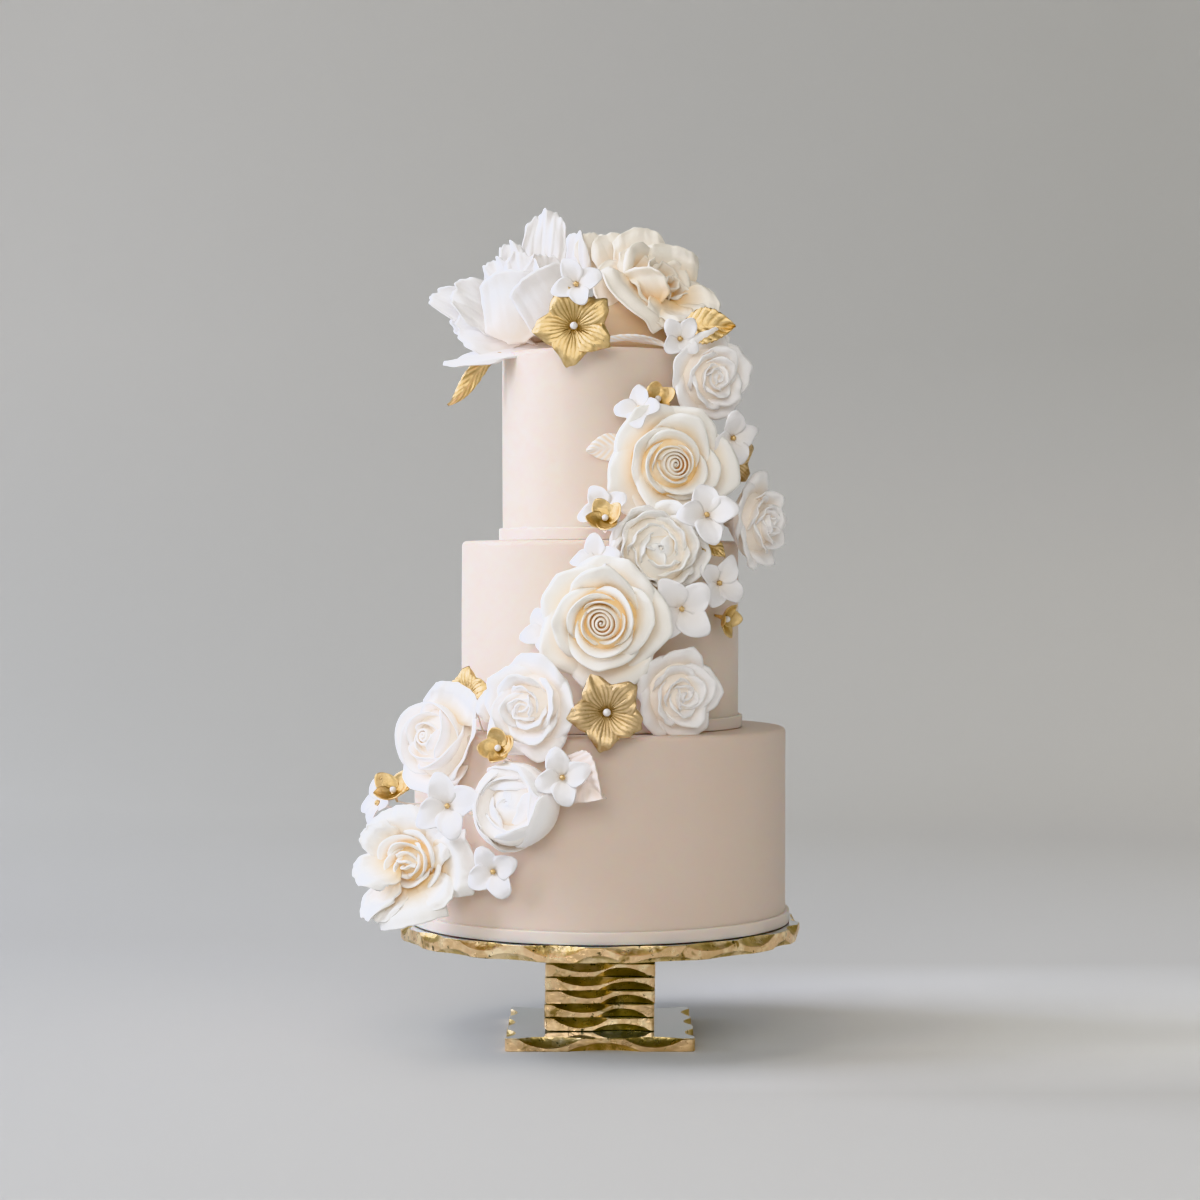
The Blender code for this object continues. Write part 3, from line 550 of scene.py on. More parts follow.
ROSE_CALYX = (0.78, -0.22)
FORMS = {
    "rose": Form(ROSE_WHORLS, 1.1, (4.4, 0.30), [(28, 30), (42, 22), (60, 8), (74, -10)], 0.85, ROSE_CALYX),
    "bud_rose": Form(
        BUD_WHORLS, 1.1, (3.0, 0.22), [(30, 32), (48, 22), (66, 6), (78, -14)], 0.45, ROSE_CALYX
    ),
    "loose_rose": Form(
        LOOSE_ROSE_WHORLS, 1.1, None, [(14, 34), (28, 26), (45, 16), (62, 3), (78, -14)], 0.45, ROSE_CALYX
    ),
    "draped": Form(HEART_WHORLS, 1.3, None, [(12, 30), (26, 22), (40, 10), (50, -5)], 0.8, ROSE_CALYX),
    "garden": Form(GARDEN_WHORLS, 1.2, None, [(16, 34), (30, 26), (46, 12), (58, -6)], 0.8, (0.60, -0.20)),
    "cupped": Form(
        CUP_WHORLS, 1.5, None, [(20, 30), (44, 26), (62, 34), (76, 40), (86, 38), (90, 10)], 0.3, None
    ),
    "ruffled": Form(RUFFLED_WHORLS, 1.3, None, [(4, 42), (20, 38), (42, 30), (60, 18), (78, -2)], 0.3, None),
}


def large_flower(body, flower, rng):
    """Rose or ranunculus: whorls of petals round a spiral bud or an open heart."""
    form = FORMS[flower.kind]
    if form.bud:
        spiral_bud(body, rng, *form.bud)
    add_whorls(body, rng, form.whorls, form.thick)
    core(body, shares(form.cone), form.depth)
    add_loose(body, flower, rng)
    if form.calyx:
        calyx(body, 0.34, *form.calyx)


def frilly_petal(profile, breadth, rng, roll):
    """Large petal with fine ribs and an uneven, waved edge."""
    rows, columns = 24, 31
    grid, depth = petal(
        profile, breadth, rng, rows=rows, columns=columns, foot=0.32, full=0.6, top=0.30, power=2.2,
        wrap=0.75, roll=roll, part=0.25, middle=0.6, spiral=0.05, ruffle=0.05, wobble=0.04,
        lean=rng.uniform(-0.25, 0.25),
    )
    s, u = lattice(rows, columns)
    phase = rng.uniform(0, 2 * math.pi)
    jag = 0.035 * (np.sin(3.4 * math.pi * u + phase) + 0.5 * np.sin(7 * math.pi * u + 2 * phase)) * s**5
    ribs = 0.010 * np.sin(12 * math.pi * u + phase) * smooth(s * 2) * (1 - 0.4 * s)
    grid[..., 2] += jag + ribs
    grid[..., 0] += 0.6 * jag
    return grid, depth


def loose_petal(item, rng, turn_in):
    """Grid of one loose petal in the flower's own frame, and its depths."""
    rows, columns = 30, 33
    s, u = lattice(rows, columns)
    hollow, bow, fall, spread = (part / 100 for part in (item.hollow, item.bow, item.fall, item.spread))
    foot, tip = Vector(item.foot), Vector(item.tip)
    length = (tip - foot).length
    along = (tip - foot).normalized()
    face = facing(item.face, item.tilt)
    face = (face - along * face.dot(along)).normalized()
    side = along.cross(face)
    phase = rng.uniform(0, 2 * math.pi)
    lean = rng.uniform(-0.2, 0.2)
    reach = 1 - fall * np.abs(u + lean * (1 - u * u)) ** 2.8
    jag = np.sin(7 * u + phase) + 0.9 * np.sin(13 * u + 2 * phase) + 0.7 * np.sin(23 * u + 3 * phase)
    reach = reach + 0.5 * item.frill / length * jag
    width = item.width / 2 * (0.30 + 0.70 * smooth(s / spread))
    width = width + 0.4 * item.frill * smooth((s - 0.3) / 0.3) * np.sin(17 * s + phase)
    near = np.clip(np.abs(u) ** 4 + s**5, 0, 1)
    wave = np.sin(6.5 * s + 5.5 * u + phase) + 0.6 * np.sin(11 * s - 8 * u + 2 * phase)
    x = width * u
    y = length * s * reach
    z = hollow * item.width * u * u * smooth(s / 0.4)
    z = z - bow * length * np.sin(math.pi * s * 0.9)
    side_roll = 0.7 * smooth((np.abs(u) - 0.7) / 0.3) * smooth(s / 0.3)
    z = z - item.roll * (smooth((s - 0.72) / 0.28) ** 1.6 + side_roll)
    ribs = 0.16 * item.frill * (np.sin(19 * u + phase) + 0.6 * np.sin(33 * u + 2 * phase))
    z = z + item.frill * near * wave + ribs * smooth(s * 2)
    frame_of = np.array([side, along, face])
    grid = np.stack([x, y, z], axis=-1) @ frame_of + np.array(foot)
    grid = (grid * MM - np.array(turn_in[0])) @ np.array(turn_in[1])
    return grid, np.broadcast_to((1 - s) ** 1.5, (rows, columns))


def add_loose(body, flower, rng):
    """The loose petals of a flower, brought into the flower's own frame."""
    turn_in = (place_of(flower), stance(flower).to_matrix())
    for row in LOOSE.get(flower.name, []):
        grid, depth = loose_petal(Loose(*row), rng, turn_in)
        body.petal(grid / body.radius, depth, LOOSE_THICK[flower.name], 0.7)


def peony(body, flower, rng):
    """Ruffled petals round the heart, then the loose ones."""
    start = 0.0
    for petals, line, breadth, curl in PEONY_WHORLS:
        start += rng.uniform(0.4, 0.9)
        for k in range(petals):
            stretch = rng.uniform(0.9, 1.12) - 1
            profile = [
                (r * (1 + stretch * i / 3), z * (1 + stretch * i / 3))
                for i, (r, z) in enumerate(shares(line))
            ]
            roll = curl * rng.uniform(0.3, 1.4)
            grid, depth = frilly_petal(profile, breadth * rng.uniform(0.9, 1.12), rng, roll)
            angle = start + 2 * math.pi * k / petals + rng.uniform(-0.12, 0.12)
            body.petal(turned(grid, angle), depth, 0.8)
    add_loose(body, flower, rng)


# How far the cone behind a small flower reaches, and the radius of the wires.
STALK = 9 * MM
WIRE = 0.45 * MM


def blossom(body, _, rng):
    """Four broad cupped petals round a gilt bead."""
    for k in range(4):
        lift = 0.2 + rng.uniform(-0.08, 0.10)
        tip = rng.uniform(0.94, 1.05)
        heights = [-0.08, 0.06 + 0.2 * lift, 0.08 + 0.8 * lift, 0.02 + 1.2 * lift]
        profile = list(zip((0.03, 0.30, 0.66, tip), heights))
        grid, depth = petal(
            profile, 0.43 * rng.uniform(0.94, 1.06), rng, columns=13, foot=0.16, full=0.72,
            top=0.36, power=2.3, wrap=0.28, roll=12, part=0.3, middle=1.0, cup=-0.06, spiral=0.03,
            wobble=0.03, lean=rng.uniform(-0.2, 0.2),
        )
        angle = math.pi / 2 * k + rng.uniform(-0.13, 0.13)
        body.petal(turned(grid, angle), 0.6 * depth, 1.1, 0.5)
    bead(body, 0.08, 1.5, rng, lumps=0.25)
    calyx(body, 0.12, STALK / body.radius, -0.02)


def gilt_flower(body, _, rng):
    """Five broad pointed petals with fine creases from a pearl centre."""
    rows, columns = 18, 29
    s, u = lattice(rows, columns)
    for k in range(5):
        lift = rng.uniform(-0.03, 0.08)
        profile = [(0.05, -0.06), (0.35, 0.06), (0.72, 0.14 + lift), (1.05, 0.10 + 1.4 * lift)]
        grid, depth = petal(
            profile, 0.52, rng, rows=rows, columns=columns, foot=0.24, full=0.62, top=0.34,
            power=2.0, point=0.08, wrap=0.25, roll=25, part=0.35, middle=0.6, cup=0.05,
            spiral=0.02, ruffle=0.05, wobble=0.05, lean=rng.uniform(-0.15, 0.15),
        )
        ridge = np.cos(9 * math.pi * u + rng.uniform(0, 6)) * np.sin(math.pi * np.clip(1.15 * s, 0, 1))
        grid[..., 2] += 0.018 * ridge - 0.04 * np.exp(-((u / 0.1) ** 2)) * s
        angle = 2 * math.pi * k / 5 + rng.uniform(-0.06, 0.06)
        # painted shade: darker down the creases between the ridges and towards the middle of the flower
        hollow = 0.35 - 0.4 * ridge + 0.5 * depth**2
        body.petal(turned(grid, angle), hollow, 1.0)
    bead(body, 0.10, 2.2, rng)
    calyx(body, 0.12, STALK / body.radius, -0.02)


def gilt_cup(body, _, rng):
    """Four rounded petals cupped round a pearl."""
    for k in range(4):
        lift = rng.uniform(-0.08, 0.10)
        profile = [(0.05, -0.10), (0.45, 0.05), (0.82, 0.34 + lift), (0.98, 0.66 + lift)]
        grid, depth = petal(
            profile, 0.62, rng, rows=14, columns=17, foot=0.3, full=0.55, top=0.34, power=2.2,
            wrap=0.6, roll=15, part=0.3, middle=1.0, cup=-0.05, wobble=0.03,
        )
        angle = math.pi / 2 * k + rng.uniform(-0.1, 0.1)
        body.petal(turned(grid, angle), depth, 0.9)
    bead(body, 0.12, 1.9, rng)
    calyx(body, 0.2, STALK / body.radius, -0.02)


BUILDERS = {"peony": peony, "blossom": blossom, "gilt_flower": gilt_flower, "gilt_cup": gilt_cup}


def build_flower(flower):
    """A flower made facing +Z, then turned and moved to its place."""
    rng = random.Random(flower.seed)
    body = Body(flower.radius * MM)
    BUILDERS.get(flower.kind, large_flower)(body, flower, rng)
    centre = "gilt_bead" if flower.kind == "blossom" else "pearl"
    obj = body.make(f"sugar_{flower.name}", flower.tint, centre)
    obj.data.transform(Matrix.LocRotScale(place_of(flower), stance(flower), None))
    return obj


def build_leaf(leaf):
    """Pointed leaf with a toothed edge, folded and veined along its midrib."""
    rng = random.Random(leaf.seed)
    rows, columns = 40, 17
    s, u = lattice(rows, columns)
    length, half = leaf.length * MM, leaf.width * MM / 2
    teeth = 1 + leaf.teeth * (1 - np.mod(s * 11, 1)) * np.abs(u) ** 3
    wide = half * np.maximum(np.sin(math.pi * s**0.8), 0.02) ** 0.85 * teeth
    x = length * s + 0.10 * length * np.abs(u) ** 2 * (1 - s)
    y = wide * u
    ridge = np.cos(2 * math.pi * (7 * s - 1.6 * np.abs(u))) * np.minimum(np.abs(u) * 3, 1)
    thinning = np.broadcast_to(1 - s**8, (rows, columns))
    veins = 0.35 * MM * ridge * thinning * min(1.0, 0.3 + 12 * leaf.teeth)
    z = 0.22 * half * np.abs(u) + veins - 0.5 * MM * np.exp(-((u / 0.12) ** 2))
    z = z + leaf.bend * MM * np.sin(math.pi * s) + 0.6 * MM * np.sin(5 * s + 3 * u + rng.uniform(0, 6))
    twist = math.radians(leaf.twist) * s
    c, n = np.cos(twist), np.sin(twist)
    grid = np.stack([x, y * c - z * n, y * n + z * c], axis=-1)
    body = Body()
    # painted shade down the furrows between the veins
    body.sheet(grid, (0.2 + 0.7 * thinning) * MM, 0.35 - 0.4 * ridge)
    obj = body.make(f"leaf_{leaf.name}", leaf.tint)
    aim = facing(leaf.face, leaf.tilt).to_track_quat("X", "Z")
    roll = Matrix.Rotation(math.radians(leaf.roll), 4, "X").to_quaternion()
    obj.data.transform(Matrix.LocRotScale(place_of(leaf), aim @ roll, None))
    return obj


def build_stems():
    """Wires that hold the small flowers, from each flower's back into its tier."""
    body = Body()
    around = np.linspace(0, 2 * math.pi, 7)[None, :, None]
    for flower in FLOWERS:
        if flower.kind not in SMALL:
            continue
        place = place_of(flower)
        back = place - 8 * MM * facing(flower.face, flower.tilt)
        turn = math.radians(flower.turn)
        wall = RADII[flower.tier] - 2 * MM
        root = Vector((wall * math.sin(turn), -wall * math.cos(turn), place.z - 6 * MM))
        if place.z > HEADS[flower.tier]:
            root = Vector((0.8 * root.x, 0.8 * root.y, HEADS[flower.tier] - 2 * MM))
        knots = [place, back, (back + root) / 2 - Vector((0, 0, 2 * MM)), root]
        path = spline([tuple(knot) for knot in knots], 6)
        ahead = np.gradient(path, axis=0)
        ahead /= np.linalg.norm(ahead, axis=1, keepdims=True)
        side = np.cross(ahead, [0.1, 0.2, 1.0])
        side /= np.linalg.norm(side, axis=1, keepdims=True)
        other = np.cross(ahead, side)
        ring = np.cos(around) * side[:, None] + np.sin(around) * other[:, None]
        # the wires take half of the white sugar's painted shade
        body.skin(path[:, None] + WIRE * ring, 0.5)
    return body.make("flower_wires", "white")


# ---- cake ----


def uneven_lathe(node, profile, steps, wave, material, rng, centre=(0.0, 0.0)):
    """Turned shape whose radius wavers a little round it and up it, as hand-smoothed icing does."""
    grid = lathe(profile, steps)
    angle = np.linspace(0, 2 * math.pi, steps + 1)[None, :]
    height = np.array(profile)[:, 1, None] / (40 * MM)
    waver = np.sin(2 * angle + 1.3 * height + rng.uniform(0, 6))
    waver = waver + 0.6 * np.sin(5 * angle - 2.1 * height + rng.uniform(0, 6))
    waver = waver + 0.3 * np.sin(9 * angle + 3.7 * height + rng.uniform(0, 6))
    grid[..., :2] *= (1 + wave * waver / max(p[0] for p in profile))[..., None]
    grid = grid + np.array([*centre, 0.0])
    body = Body()
    body.skin(grid[::-1])
    finish(body.make(f"icing_{node}", material), node)


def rounded(corners, radius, steps=6):
    """Profile through corners given as (radius, height), with each inner corner rounded."""
    points = [corners[0]]
    for before, corner, after in zip(corners, corners[1:], corners[2:]):
        a, b, c = (np.array(p, float) for p in (before, corner, after))
        start = b + (a - b) / np.linalg.norm(a - b) * radius
        end = b + (c - b) / np.linalg.norm(c - b) * radius
        for t in np.linspace(0, 1, steps):
            points.append(tuple((1 - t) ** 2 * start + 2 * t * (1 - t) * b + t * t * end))
    points.append(corners[-1])
    return points


def filled(profile, span):
    """The profile with points added so that no run is longer than span."""
    points = [profile[0]]
    for before, after in zip(profile, profile[1:]):
        count = max(1, math.ceil(math.dist(before, after) / span))
        for i in range(1, count + 1):
            t = i / count
            points.append((before[0] + (after[0] - before[0]) * t, before[1] + (after[1] - before[1]) * t))
    return points


# Radii of the edges.
TIER_ROUNDING = 3.2 * MM
BORDER_ROUNDING = 0.7 * MM


def build_tiers():
    """The fondant tiers, the iced band at the foot of each and the dome on the top one."""
    rng = random.Random(7)
    for name, (low, high) in TIERS.items():
        radius = RADII[name]
        corners = [(0.0, high[2]), (radius, high[2]), (radius, low[2]), (0.0, low[2])]
        profile = filled(rounded(corners, TIER_ROUNDING), 6 * MM)
        # painted shade: the bottom tier's icing is a darker copy of the fondant, for the dimmer light low on
        # the cake
        icing = "shaded_fondant" if name == "bottom" else "fondant"
        uneven_lathe(f"tier_{name}", profile, 160, 0.10 * MM, icing, rng)
        low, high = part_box(f"border_{name}")
        inner, outer = radius - 1 * MM, high[0]
        corners = [(inner, high[2]), (outer, high[2]), (outer, low[2]), (inner, low[2])]
        profile = filled(rounded(corners, BORDER_ROUNDING, 4), 2 * MM)
        uneven_lathe(f"border_{name}", profile, 160, 0.12 * MM, "border", rng)
    low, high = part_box("dome")
    radius = (high[0] - low[0]) / 2
    arc = [math.pi / 2 * (1 - i / 16) for i in range(17)]
    profile = [(radius * math.cos(a), low[2] + (high[2] - low[2]) * math.sin(a)) for a in arc]
    centre = ((low[0] + high[0]) / 2, (low[1] + high[1]) / 2)
    profile.append((0.0, low[2]))
    uneven_lathe("dome", profile, 64, 0.4 * MM, "dome", rng, centre)


# ---- stand ----

# How far a scoop cuts into the slab for each millimetre that it cuts down, how much of the
# slab's thickness the scoops may take together, how far along a scoop each ring of points is
# (from the slab's face to the scoop's end) and how hollow the scoop is.
SCOOP = 1.0
MOST_SCOOPED = 0.88
SCOOP_STEPS = (0.0, 0.3, 0.6, 0.85, 1.0)
SCOOP_CURVE = 1.7

# A square slab's corner radius, and how far apart the points along its sides are.
SLAB_CORNER = 2 * MM
SLAB_STEP = 1.2 * MM


def square_path(half):
    """Points and outward normals round a square with rounded corners."""
    points, normals = [], []
    flat = half - SLAB_CORNER
    count = max(2, round(2 * flat / SLAB_STEP))
    for k in range(4):
        turn = math.pi / 2 * k
        ahead = np.array([math.cos(turn), math.sin(turn)])
        out = np.array([math.sin(turn), -math.cos(turn)])
        for i in range(count):
            points.append(out * half + ahead * (2 * flat * i / count - flat))
            normals.append(out)
        for i in range(4):
            angle = turn - math.pi / 2 + math.pi / 8 * i
            way = np.array([math.cos(angle), math.sin(angle)])
            points.append(out * flat + ahead * flat + SLAB_CORNER * way)
            normals.append(way)
    return np.array(points), np.array(normals)


def round_path(radius, step):
    """Points and outward normals round a circle."""
    angle = np.arange(0, 2 * math.pi, step / radius)
    normals = np.stack([np.cos(angle), np.sin(angle)], axis=-1)
    return radius * normals, normals


def chip_rows(run, chips, thick):
    """How far the chips of one edge reach down the side at each point of the run."""
    reach = np.zeros(len(run))
    for centre, half, share in chips:
        x = np.clip(np.abs(run - centre) / half, 0, 1)
        reach = np.maximum(reach, thick * share * (1 - x * x) ** 0.9)
    return reach


def wander(run, size, rng):
    """Small uneven wave along the run, as a hand-worked edge has."""
    total = run[-1]
    wave = 0.0
    for waves in (9, 23, 47, 101):
        wave = wave + np.sin(2 * math.pi * waves * run / total + rng.uniform(0, 6)) * (9 / waves) ** 0.5
    return size * wave


def width_of(node):
    """How wide the CAD node is."""
    low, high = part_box(node)
    return high[0] - low[0]


def chipped(name, node, outline, over, under, rng, shift=(0.0, 0.0)):
    """Glass slab whose sides are scooped by hand from above and below, and gilded."""
    points, normals = outline
    low, high = (corner[2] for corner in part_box(node))
    thick = high - low
    run = np.concatenate([[0], np.cumsum(np.linalg.norm(np.diff(points, axis=0), axis=1))])
    top = chip_rows(run, over, thick)
    bottom = chip_rows(run, under, thick)
    room = MOST_SCOOPED * thick
    top = top * np.minimum(1, room / np.maximum(top + bottom, 1e-6)) + 0.35 * MM
    bottom = bottom * np.minimum(1, room / np.maximum(top + bottom, 1e-6)) + 0.3 * MM
    top = np.maximum(top + wander(run, 0.10 * MM, rng), 0.1 * MM)
    bottom = np.maximum(bottom + wander(run, 0.10 * MM, rng), 0.1 * MM)
    rough = np.abs(wander(run, 0.10 * MM, rng)) + 0.1 * MM
    # rings of points from the upper face down to the middle, then on down to the lower face
    rings, scooped = [], []
    for cut, edge, way in ((top, high, -1), (bottom, low, 1)):
        for v in SCOOP_STEPS[::-way]:
            inset = SCOOP * cut * (1 - v**SCOOP_CURVE) + rough
            place = points - normals * inset[:, None] + np.array(shift)
            rings.append(np.column_stack([place, edge + way * cut * v]))
            scooped.append(0.0 if v == 1 else 1.0)
    grid = np.stack(rings)
    index = np.arange(grid.size // 3).reshape(grid.shape[:2])
    closed = np.column_stack([index, index[:, 0]])
    faces = quads(closed)[..., FLIPPED].reshape(-1, 4).tolist()
    faces += [index[0].tolist(), index[-1, ::-1].tolist()]
    mesh = bpy.data.meshes.new(name)
    mesh.from_pydata(grid.reshape(-1, 3).tolist(), [], faces)
    scoop = mesh.attributes.new("scoop", "FLOAT", "POINT")
    scoop.data.foreach_set("value", np.repeat(scooped, len(points)).astype(np.float32))
    mesh.materials.append(MATERIALS["gold_leaf"])
    mesh.materials.append(MATERIALS["glass"])
    for k in (-2, -1):
        mesh.polygons[k].material_index = 1
    mesh.shade_smooth()
    mesh.set_sharp_from_angle(angle=math.radians(30))
    finish(placed(name, mesh), node)


def spaced_chips(total, wave, rng, offset):
    """Chips that alternate unevenly between the upper and the lower edge all the way round."""
    count = 2 * round(total / wave / 2)
    over, under = [], []
    for i in range(-1, count + 1):
        centre = (i + offset + rng.uniform(-0.22, 0.22)) * total / count
        half = total / count * rng.uniform(0.50, 0.85)
        if i % 2 == 0:
            over.append((centre, half, rng.uniform(0.40, 0.78)))
        else:
            under.append((centre, half, rng.uniform(0.25, 0.55)))
    return over, under


def side_chips(side, places, rng):
    """A run of chips for each of a square's four sides, given as (share of the side, half width)."""
    found = []
    for k, chips in enumerate(places):
        for share, half in chips:
            centre = (k + share + rng.uniform(-0.03, 0.03)) * side
            found.append((centre, half * rng.uniform(0.88, 1.15), rng.uniform(0.52, 0.74)))
    return found


def build_stand():
    """The stand's foot, the slabs on it and the plate under the cake."""
    rng = random.Random(11)
    side = width_of("stand_foot")
    two = [(0.22, 17 * MM), (0.77, 16 * MM)]
    three = [(0.18, 11 * MM), (0.48, 12 * MM), (0.80, 12 * MM)]
    over = side_chips(side, [two, three, two, three], rng)
    under = side_chips(side, [[(0.50, 19 * MM)], [(0.34, 10 * MM), (0.64, 11 * MM)]] * 2, rng)
    chipped("glass_foot", "stand_foot", square_path(side / 2), over, under, rng)
    slabs = sorted(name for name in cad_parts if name.startswith("stand_slab"))
    for name in slabs:
        side = width_of(name)
        over = side_chips(side, [[(0.33, 16 * MM)]] * 4, rng)
        under = side_chips(side, [[(0.69, 15 * MM)]] * 4, rng)
        shift = (rng.uniform(-0.7, 0.7) * MM, rng.uniform(-0.7, 0.7) * MM)
        chipped(f"glass_{name}", name, square_path(side / 2), over, under, rng, shift)
    radius = width_of("stand_plate") / 2
    over, under = spaced_chips(2 * math.pi * radius, 21 * MM, rng, 0.3)
    chipped("glass_plate", "stand_plate", round_path(radius, 1.5 * MM), over, under, rng)


# ---- materials ----


# The two colours among a Mix node's inputs, and the mixed colour among its outputs.
MIX_COLOURS = (6, 7)
MIX_RESULT = 2


def feed(socket, value):
    """Links a node's output to the socket, or sets the socket's own value."""
    if isinstance(value, bpy.types.NodeSocket):
        socket.id_data.links.new(value, socket)
    else:
        socket.default_value = value


class Look:
    """A material with a Principled shader, and short ways to add nodes to it."""

    def __init__(self, name, **settings):
        self.material = bpy.data.materials.new(name)
        self.material.use_nodes = True
        self.nodes = self.material.node_tree.nodes
        self.set(**settings)

    def set(self, **settings):
        """Values or outputs for the shader's own inputs, such as roughness."""
        inputs = self.nodes["Principled BSDF"].inputs
        for key, value in settings.items():
            feed(inputs[key.replace("_", " ").title()], value)

    def add(self, kind, inputs=(), **settings):
        """The outputs of a new node."""
        node = self.nodes.new(f"ShaderNode{kind}")
        for key, value in settings.items():
            setattr(node, key, value)
        for key, value in dict(inputs).items():
            feed(node.inputs[key], value)
        return node.outputs

    def attribute(self, name):
        """What the mesh says at each point, such as its depth in the flower."""
        return self.add("Attribute", attribute_name=name)["Fac"]

    def noise(self, scale, detail=3.0, rough=0.5, distortion=0.0):
        """Noise over the object's own coordinates; scale is in waves per metre."""
        inputs = {"Vector": self.add("TexCoord")["Object"], "Scale": scale, "Detail": detail}
        inputs.update({"Roughness": rough, "Distortion": distortion})
        return self.add("TexNoise", inputs)["Fac"]

    def step(self, value, low, high):
        """Value spread from 0 at low to 1 at high."""
        return self.add("MapRange", {"Value": value, "From Min": low, "From Max": high})["Result"]

    def spread(self, value, low, high):
        """Value spread from low at 0 to high at 1."""
        return self.add("MapRange", {"Value": value, "To Min": low, "To Max": high})["Result"]

    def mix(self, share, *colours):
        """Colour that goes from the first to the second with the share."""
        inputs = {"Factor": share}
        for socket, colour in zip(MIX_COLOURS, colours):
            inputs[socket] = (*colour, 1.0) if isinstance(colour, tuple) else colour
        return self.add("Mix", inputs, data_type="RGBA")[MIX_RESULT]

    def bump(self, height, distance, strength):
        """Fine relief from a height, in the shader's normal."""
        inputs = {"Height": height, "Distance": distance, "Strength": strength}
        self.set(normal=self.add("Bump", inputs)["Normal"])


def sugar_paste(name, light, deep):
    """Petal paste: a soft matte skin, with painted shade that turns it warmer and darker deep inside the
    flower.
    """
    look = Look(name, roughness=0.55)
    base = look.mix(look.step(look.attribute("depth"), 0.15, 0.85), light, deep)
    pale = tuple(min(1.0, 1.04 * part) for part in light)
    look.set(base_color=look.mix(look.step(look.noise(60), 0.45, 0.9), base, pale))
    look.bump(look.noise(900, 4), 0.15 * MM, 0.4)
    return look.material


def fondant(name, colour, shade):
    """Rolled icing: even, matte, with a faint mottle and a fine grain."""
    look = Look(name, roughness=0.5, subsurface_weight=0.5, subsurface_scale=5 * MM)
    look.set(subsurface_radius=(1.0, 0.45, 0.22))
    look.set(base_color=look.mix(look.step(look.noise(14, 4, 0.6), 0.35, 0.7), colour, shade))
    look.bump(look.noise(500, 5, 0.6), 0.2 * MM, 0.25)
    return look.material


def gilding(name, light, dark, roughness):
    """Gold dust brushed over sugar, patchy, with painted shade that turns it brown in the hollows and leaves
    the ridges bright.
    """
    look = Look(name, metallic=1.0)
    middle = tuple((a + b) / 2 for a, b in zip(light, dark))
    dusty = look.mix(look.step(look.noise(260, 5, 0.65), 0.35, 0.72), light, middle)
    look.set(base_color=look.mix(look.step(look.attribute("depth"), 0.25, 0.9), dusty, dark))
    look.set(roughness=look.spread(look.noise(420, 4), roughness - 0.08, roughness + 0.2))
    look.bump(look.noise(420, 6, 0.65, 0.6), 0.7 * MM, 0.6)
    return look.material


def gold_leaf():
    """Leaf on ground glass: tan where flat, olive gold in the scoops, with dark specks."""
    look = Look("gold_leaf", metallic=1.0)
    patches = look.step(look.noise(70, 4, 0.6, 0.4), 0.38, 0.62)
    flat = look.mix(patches, (0.90, 0.64, 0.38), (0.76, 0.53, 0.28))
    hollow = look.mix(patches, (0.80, 0.61, 0.29), (0.50, 0.37, 0.14))
    base = look.mix(look.attribute("scoop"), flat, hollow)
    bright = look.step(look.noise(85, 3, 0.6), 0.50, 0.64)
    base = look.mix(bright, base, (1.0, 0.80, 0.50))
    worn = look.step(look.noise(65, 3, 0.6, 0.8), 0.60, 0.68)
    base = look.mix(worn, base, (0.36, 0.25, 0.10))
    specks = look.step(look.noise(210, 4, 0.6), 0.63, 0.70)
    look.set(base_color=look.mix(specks, base, (0.06, 0.07, 0.04)))
    look.set(roughness=look.spread(look.noise(200, 4), 0.18, 0.42))
    look.bump(look.noise(110, 4, 0.6), 1.8 * MM, 0.8)
    return look.material


def glossy(name, scale, low, colours, **settings):
    """Plain glossy skin whose colour drifts between two."""
    look = Look(name, **settings)
    look.set(base_color=look.mix(look.step(look.noise(scale, 2), low, 0.7), *colours))
    return look.material


def stand_glass():
    """Thick sheet glass over a silvered back: lavender grey and glossy, greener in patches."""
    settings = dict(roughness=0.07, metallic=0.55, coat_weight=1.0, coat_roughness=0.03)
    return glossy("stand_glass", 14, 0.35, ((0.38, 0.40, 0.43), (0.22, 0.29, 0.29)), **settings)


def pearl():
    """Sugar pearl with a soft shine."""
    settings = dict(roughness=0.22, coat_weight=0.6, coat_roughness=0.12)
    return glossy("pearl", 300, 0.3, ((0.86, 0.85, 0.84), (0.80, 0.77, 0.76)), **settings)


def backdrop():
    """Matt paper, tinted along its length with painted light and shade: the floor near the cake, the floor
    behind, the wall.
    """
    look = Look("backdrop", roughness=0.9)
    x, y, z = look.add("SeparateXYZ", {"Vector": look.add("TexCoord")["Object"]})
    # painted light and shade: the floor near the cake darker on the left and paler on the right, the floor
    # behind paler on the right, the wall darker on the right
    side = look.step(x, -0.8, 0.8)
    near = look.mix(side, (0.405, 0.395, 0.365), (0.75, 0.73, 0.68))
    far = look.mix(side, (0.60, 0.59, 0.55), (0.70, 0.67, 0.60))
    wall = look.mix(side, (0.67, 0.65, 0.60), (0.55, 0.53, 0.475))
    # painted light: the floor is painted paler where the cake's shadow falls, palest towards the right,
    # which lightens and softens that shadow
    shadow = 1.0
    for way, low, high in ((x, -0.02, 0.09), (x, 1.1, 0.5), (y, -0.17, -0.04), (y, 0.28, 0.06)):
        share = look.step(way, low, high)
        shadow = look.add("Math", {0: share, 1: shadow}, operation="MULTIPLY")["Value"]
    lift = look.mix(look.step(x, 0.10, 0.24), (0.90, 0.89, 0.87), (1.0, 1.0, 0.98))
    ground = look.mix(look.step(y, 0.4, 1.3), look.mix(shadow, near, lift), far)
    look.set(base_color=look.mix(look.step(z, 0.05, 0.6), ground, wall))
    look.bump(look.noise(120), 0.3 * MM, 0.2)
    return look.material


